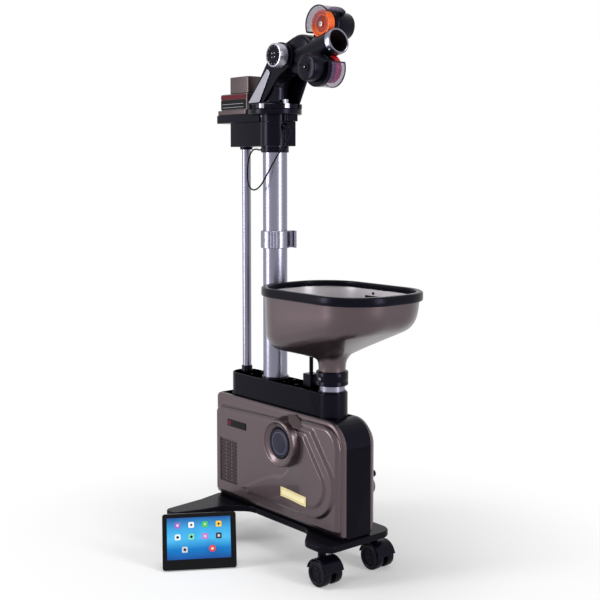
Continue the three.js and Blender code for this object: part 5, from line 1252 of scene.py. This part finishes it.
def thrower():
    barrel = [(0, -25.6), (24.4, -25.6), (26, -24), (26, 24), (24.4, 25.6), (0, 25.6)]
    pivot = on_head(0, 0, 0, "-y")
    turned("pivot_barrel", barrel, 80, PLASTIC, "thrower", "throw_housing", place=pivot)
    hump = [(0, -21), (33, -21), (36.6, -19.6), (39, -16.6), (40, -12)]
    hump += [(radius, -level) for radius, level in reversed(hump)]
    turned("feed_hump", hump, 96, PLASTIC, "thrower", place=on_head(38, 0, -9, "-y"))
    shoulder = [(0, 0), (38, -9), (33.5, 29.6), (-3.4, 25)]
    slab("feed_shoulder", shoulder, -20.4, 20.4, "y", PLASTIC, "thrower", place=HEAD, bevel=(3.4, 4))
    tube = [(21.5, 30), (25, 30), (25, 122.2), (24.2, 123), (21.5, 123)]
    axis = on_head(0, 0, DROP, "+x")
    turned("throw_tube", tube, 80, PLASTIC, "thrower", place=axis)
    mount("top", TOP_Z, 1)
    mount("low", LOW_Z, -1)
    mouth = on_head(123, 0, DROP, "+x")
    ring = [(21.6, 0.3), (25.2, 0.3), (25.2, 12.2), (24.6, 13.2), (22.6, 13.2), (21.8, 12.4)]
    turned("nozzle_bright", ring, 96, CHROME, "thrower", "nozzle_ring", place=mouth)
    # Painted shade: the dark lining of the bore and the dark disc in the throat stand for the shade inside
    # the tube
    lining = [(21.2, -90), (21.55, -90), (21.55, 12.4), (21.2, 12.4)]
    turned("nozzle_lining", lining, 72, HOLE_SHADE, "thrower", place=mouth)
    turned("throat_shadow", [(0, 34), (21.3, 34), (21.3, 35), (0, 35)], 48, HOLE_SHADE, "thrower", place=axis)
    screw_head("nozzle_screw", on_head(128, -20, DROP - 16, "-y"), 2, "thrower")


thrower()


def motor(name, z, toward):
    can = [
        (0, 10), (3, 10), (3, 14.1), (22, 14.1), (24.8, 14.6), (26, 16.4), (26, 22), (25.4, 22.6),
        (25.4, 24), (26, 24.6), (26, 57.6), (25.2, 60), (23.2, 61.1), (12, 61.1), (9.4, 61.1), (9, 62.7),
        (0, 62.7),
    ]
    place = on_head(WHEEL_X, 0, z, toward)
    turned(name + "_can", can, 80, BLACK_METAL, "thrower", name, place=place, angle=40)
    screw = [(0, 0), (2.2, 0), (2.2, 0.9), (1.2, 1.2), (1.2, 0.5), (0, 0.5)]
    for k in range(3):
        angle = 2 * pi * k / 3 + 0.5
        local = place @ shift(17 * cos(angle), 17 * sin(angle), 61)
        turned(f"{name}_screw_{k + 1}", screw, 20, BLACK_SATIN, "thrower", place=local)
    hub = [(0, 62.6), (3.4, 62.6), (3.4, 64.2), (2.8, 64.8), (0, 64.8)]
    turned(name + "_hub", hub, 28, BLACK_SATIN, "thrower", place=place)
    dimple = [(0, 64.6), (1.5, 64.6), (1.5, 65), (0, 65)]
    turned(name + "_dimple", dimple, 20, STEEL, "thrower", place=place)


motor("top_motor", TOP_Z, "+y")
motor("bottom_motor", LOW_Z, "-y")


def throwing_wheel(name, z, material, deep, slot_name, body):
    half = [
        (3.3, 7), (6, 7), (6.4, 6.6), (6.6, 4.6), (7.4, 4.2), (17.4, 4.2), (18.6, 4.8), (20.4, 6.7),
        (21.2, 7), (25.2, 7), (26.4, 6.5), (27, 5.2), (26.5, 2.4),
    ]
    profile = half + [(26.35, 0)] + [(r, -h) for r, h in reversed(half)]
    near, far = on_head(WHEEL_X, 0, z, "-y"), on_head(WHEEL_X, 0, z, "+y")
    turned(name + "_tread", profile, 96, (material, slot_name), body, name, place=near, angle=46)
    web = [(6.2, 4), (6.2, 4.6), (15.6, 4.6), (16.2, 4)]
    lip = [(20.9, 6.9), (21.1, 7.25), (22, 7.25), (22.2, 6.9)]
    # Painted shade: the web and the lip take the darker copy of the tread colour
    for side, place in (("_near", near), ("_far", far)):
        turned(name + "_web" + side, web, 72, deep, body, place=place, angle=30)
        turned(name + "_lip" + side, lip, 96, deep, body, place=place, angle=30)
    bolt = [(0, 5), (3.2, 5), (3.2, 8.6), (2.7, 9.2), (1.6, 9.2), (1.6, 8.2), (0, 8.2)]
    washer = [(0, 4.4), (5.4, 4.4), (5.4, 7.4), (5, 7.7), (0, 7.7)]
    turned(name + "_bolt", bolt, 6, STEEL, body, place=near, angle=20)
    turned(name + "_washer", washer, 32, STEEL, body, place=near)


throwing_wheel("top_wheel", TOP_Z, ORANGE, ORANGE_RING_SHADE, "orange_tread", "upper_wheel")
throwing_wheel("bottom_wheel", LOW_Z, RED, RED_RING_SHADE, "red_tread", "lower_wheel")

# Where a guard ends beside its motor, and how deep the wall on its open side is
GUARD_END = 27.4
WALL_DEPTH = 1.4


def guard(name, z, span, motor_side, open_side):
    """A clear band with a wall on its open side, edged all round."""
    for part, shape, one, two, finish, node_name in (
        ("clear", wheel_band(span, z, 35.8, 34.4), open_side, GUARD_END, (SMOKED, "smoked_guard"), name),
        ("wall", arc(34.5, *SPAN[span], WHEEL_X, z), open_side, open_side + WALL_DEPTH, GUARD_WALL, None),
        ("edge_outer", wheel_band(span, z, 35.85, 33.4), open_side - 0.3, open_side + 1.1, GUARD_EDGE, None),
        ("edge_inner", wheel_band(span, z, 35.85, 34.3), 26.4, 27.5, GUARD_EDGE, None),
    ):
        low, high = sorted((one * motor_side, two * motor_side))
        slab(f"{name}_{part}", shape, low, high, "y", finish, "thrower", node_name, place=HEAD, angle=30)
    low, high = sorted((open_side * motor_side, GUARD_END * motor_side))
    bar = rect(-1.6, low, 1.3, high)
    for label, place in span_ends(span, z, 34.6):
        slab(f"{name}_end_{label}", bar, -1.3, 1.3, "z", GUARD_EDGE, "thrower", place=place, bevel=(0.4, 2))


guard("top_guard", TOP_Z, "top", 1, -14.6)
guard("bottom_guard", LOW_Z, "low", -1, -8.4)

KNOB_GRIPS = 40


def knob():
    profile = [
        (13, 0.2), (22.4, 0.2), (23.4, 0.9), (23.7, 2), (23.7, 18.2), (23, 19.4), (21.6, 20), (20.4, 20),
        (20, 19.2),
    ]
    verts, faces = lathe(profile, KNOB_GRIPS * 2)
    shaped = []
    for i, (x, y, z) in enumerate(verts):
        inset = 0.975 if math.hypot(x, y) > 23.5 and i % 2 else 1
        shaped.append((x * inset, y * inset, z))
    place = on_head(0, -32.3, 0, "-y")
    add("knob_rim", (shaped, faces), (KNURL, "knurled_metal"), "knob", "tilt_knob", place=place, angle=25)
    face = [(0, 19), (12, 19), (12.4, 18.4), (13.2, 18.4), (13.6, 19), (19.4, 19), (20.3, 18.2)]
    face += [(20.3, 12), (0, 12)]
    turned("knob_face", face, 80, PLASTIC, "knob", place=place)
    back = [(4.2, 0.2), (13.4, 0.2), (13.4, 12.2), (4.2, 12.2)]
    turned("knob_back", back, 64, BLACK, "knob", place=place)
    for k in range(12):
        mark = brick(16.2, -0.4, 18.9, 18.8, 0.4, 19.3)
        add(f"knob_mark_{k + 1}", mark, STEEL, "knob", place=place @ spin(30 * k))
    pin = [(0, 18.9), (1.3, 18.9), (1.3, 19.5), (0.8, 19.8), (0, 19.8)]
    for k in range(4):
        angle = 2 * pi * k / 4 + 0.6
        local = place @ shift(5.5 * cos(angle), 5.5 * sin(angle), 0)
        turned(f"knob_pin_{k + 1}", pin, 20, STEEL, "knob", place=local)


knob()

# Tablet controller
# Each tile has a colour, a centre, and the sides and the paint of the plain mark on it
TILES = (
    ("violet", (150, 90, 190), -42.7, 86, 24, WHITE),
    ("white", (236, 236, 240), -15.8, 86, 4, GLASS_BLACK),
    ("green", (64, 190, 80), 11.1, 86, 4, WHITE),
    ("yellow", (240, 196, 60), 38, 86, 4, GLASS_BLACK),
    ("blue", (224, 236, 246), -42.7, 63.5, 24, GLASS_BLACK),
    ("mint", (120, 214, 170), -15.8, 63.5, 24, GLASS_BLACK),
    ("pink", (190, 110, 200), 11.1, 63.5, 24, WHITE),
    ("black", (28, 28, 30), 38, 63.5, 24, WHITE),
    ("grey", (196, 200, 206), -29, 39.5, 24, GLASS_BLACK),
    ("red", (224, 48, 40), 25, 39.5, 24, WHITE),
)


def screen_tiles(place):
    for name, channels, x, z, mark_sides, mark_paint in TILES:
        paint = surface("tile_" + name, channels, 0.3, 0, 0.9, 120, 900, 0)
        glow = {"Emission Color": srgb(*channels), "Emission Strength": 0.08}
        fill(paint.node_tree.nodes["Principled BSDF"], glow)
        shape = circle(6.4, x, z, 32) if name == "red" else rect(x - 5.6, z - 5.6, x + 5.6, z + 5.6, 2, 4)
        slab("tile_" + name, shape, -0.5, 0, "y", paint, "controller", place=place)
        mark = circle(2.6, x, z, mark_sides, 0.4)
        slab("tile_mark_" + name, mark, -0.8, -0.4, "y", mark_paint, "controller", place=place)


def tablet():
    lean = radians(15)
    rest = shift(25.6, -209.9, 0) @ spin(58.3)
    leaning = rest @ shift(0, 0, 10 * sin(lean) - 1.25) @ Matrix.Rotation(-lean, 4, "X")
    case = rect(-72.5, 1.2, 72.5, 108.2, 5)
    finish = (GLASS_BLACK, "black_plastic")
    looks = {"place": leaning, "bevel": (1.6, 4)}
    slab("tablet_shell", case, 0.2, 10, "y", finish, "controller", "tablet_case", **looks)
    glass = rect(-63.5, 21, 61.5, 100.2, 0.8, 3)
    finish = (SCREEN, "screen")
    slab("tablet_display", glass, -0.1, 0.6, "y", finish, "controller", "tablet_screen", place=leaning)
    screen_tiles(leaning)
    button = [(0, 0), (2.4, 0), (2.4, 0.5), (1.9, 0.8), (0, 0.8)]
    turned("tablet_button", button, 28, BLACK_SATIN, "controller", place=leaning @ at(0, 0.3, 9.5, "-y"))

    def back_at(z):
        return (10.3 + (z - 10 * sin(lean) + 1.5) * sin(lean)) / cos(lean) + 0.3

    prop = [(50, 0, 0.5), (54, 0, 0.5), (back_at(62) + 4, 62, 3), (back_at(62), 62, 0.5)]
    prop = rounded(prop + [(back_at(50), 50, 0.5)], 4)
    finish = (BLACK_SATIN, "black_plastic")
    looks = {"place": rest, "bevel": (0.8, 2)}
    slab("tablet_prop", prop, -29, 29, "x", finish, "controller", "tablet_stand", **looks)
    for thing in bpy.context.scene.objects:
        if thing.name.startswith(("tablet_", "tile_")):
            thing.visible_glossy = False


tablet()

# Nodes of the source that keep their own shape
CARRIED = (
    (BLACK_SATIN, ("core_frame", "power_inlet")),
    (BLACK, ("power_switch", "deck_housing", "turntable")),
    (WHITE, ("feed_rotor", "ball_channel", "swing_pinion")),
    (STEEL, ("feed_motor", "power_supply", "swing_motor")),
    (GREEN, ("control_board",)),
)
for carried_material, carried_names in CARRIED:
    for carried_name in carried_names:
        carried = frame["nodes"][carried_name].data
        carried.materials.clear()
        carried.materials.append(carried_material)
        carried.shade_smooth()
        carried.set_sharp_from_angle(angle=radians(35))


# Floor, world and lights
FLOOR_HALF_METRES = 60


def seen_directly(tree):
    """One where a camera, glossy or transmission ray looks, so that metal and glass show it too."""
    path = node(tree, "LightPath")
    seen = node(tree, "Math", operation="MAXIMUM")
    clear = node(tree, "Math", operation="MAXIMUM")
    join(
        tree,
        (path, "Is Camera Ray", seen, 0),
        (path, "Is Glossy Ray", seen, 1),
        (seen, 0, clear, 0),
        (path, "Is Transmission Ray", clear, 1),
    )
    return clear


def white_floor():
    size = FLOOR_HALF_METRES
    mesh = bpy.data.meshes.new("floor")
    corners = [(-size, -size, 0), (size, -size, 0), (size, size, 0), (-size, size, 0)]
    mesh.from_pydata(corners, [], [(0, 1, 2, 3)])
    floor = linked("floor", mesh)
    made, tree, shader = new_material("floor_white")
    fill(shader, {"Base Color": (0.84, 0.84, 0.84, 1), "Roughness": 0.8, "Specular IOR Level": 0.1})
    glow = node(tree, "Emission", {"Color": (1, 1, 1, 1)})
    place = node(tree, "TexCoord")
    away = node(tree, "VectorMath", operation="LENGTH")
    reach = {"From Min": 0.3, "From Max": 0.8, "To Min": 0.25, "To Max": 1.0}
    fade = node(tree, "MapRange", reach, interpolation_type="SMOOTHSTEP")
    amount = node(tree, "Math", operation="MULTIPLY")
    mix = node(tree, "MixShader")
    join(
        tree,
        (place, "Object", away, 0),
        (away, "Value", fade, "Value"),
        (seen_directly(tree), 0, amount, 0),
        (fade, "Result", amount, 1),
        (amount, 0, mix, "Fac"),
        (shader, "BSDF", mix, 1),
        (glow, "Emission", mix, 2),
        (mix, "Shader", tree.nodes["Material Output"], "Surface"),
    )
    mesh.materials.append(made)


def white_world():
    world = bpy.data.worlds.new("studio")
    bpy.context.scene.world = world
    world.use_nodes = True
    tree = world.node_tree
    back = fill(tree.nodes["Background"], {"Color": (0.96, 0.97, 1, 1), "Strength": 0.28})
    white = node(tree, "Background", {"Color": (1, 1, 1, 1), "Strength": 1.0})
    mix = node(tree, "MixShader")
    join(
        tree,
        (seen_directly(tree), 0, mix, "Fac"),
        (back, "Background", mix, 1),
        (white, "Background", mix, 2),
        (mix, "Shader", tree.nodes["World Output"], "Surface"),
    )


def lamp(name, bearing, distance, z, power, width, tall, aim_z):
    """An area lamp; its bearing is in degrees to the right of the camera, seen from above."""
    data = bpy.data.lights.new(name, "AREA")
    data.shape = "RECTANGLE"
    data.size, data.size_y = width, tall
    data.energy = power
    light = linked(name, data)
    angle = radians(bearing) + CAMERA_AZIMUTH - pi / 2
    light.location = spot(distance * cos(angle), distance * sin(angle), z)
    look = spot(0, 0, aim_z) - light.location
    light.rotation_euler = look.to_track_quat("-Z", "Y").to_euler()


white_floor()
white_world()
lamp("left_strip", bearing=-75, distance=2500, z=1060, power=58, width=0.75, tall=2.1, aim_z=900)
lamp("right_strip", bearing=50, distance=2500, z=1060, power=46, width=0.65, tall=2.1, aim_z=900)
lamp("top", bearing=0, distance=300, z=2700, power=32, width=1.1, tall=1.1, aim_z=500)
bpy.context.scene.view_settings.view_transform = "Standard"
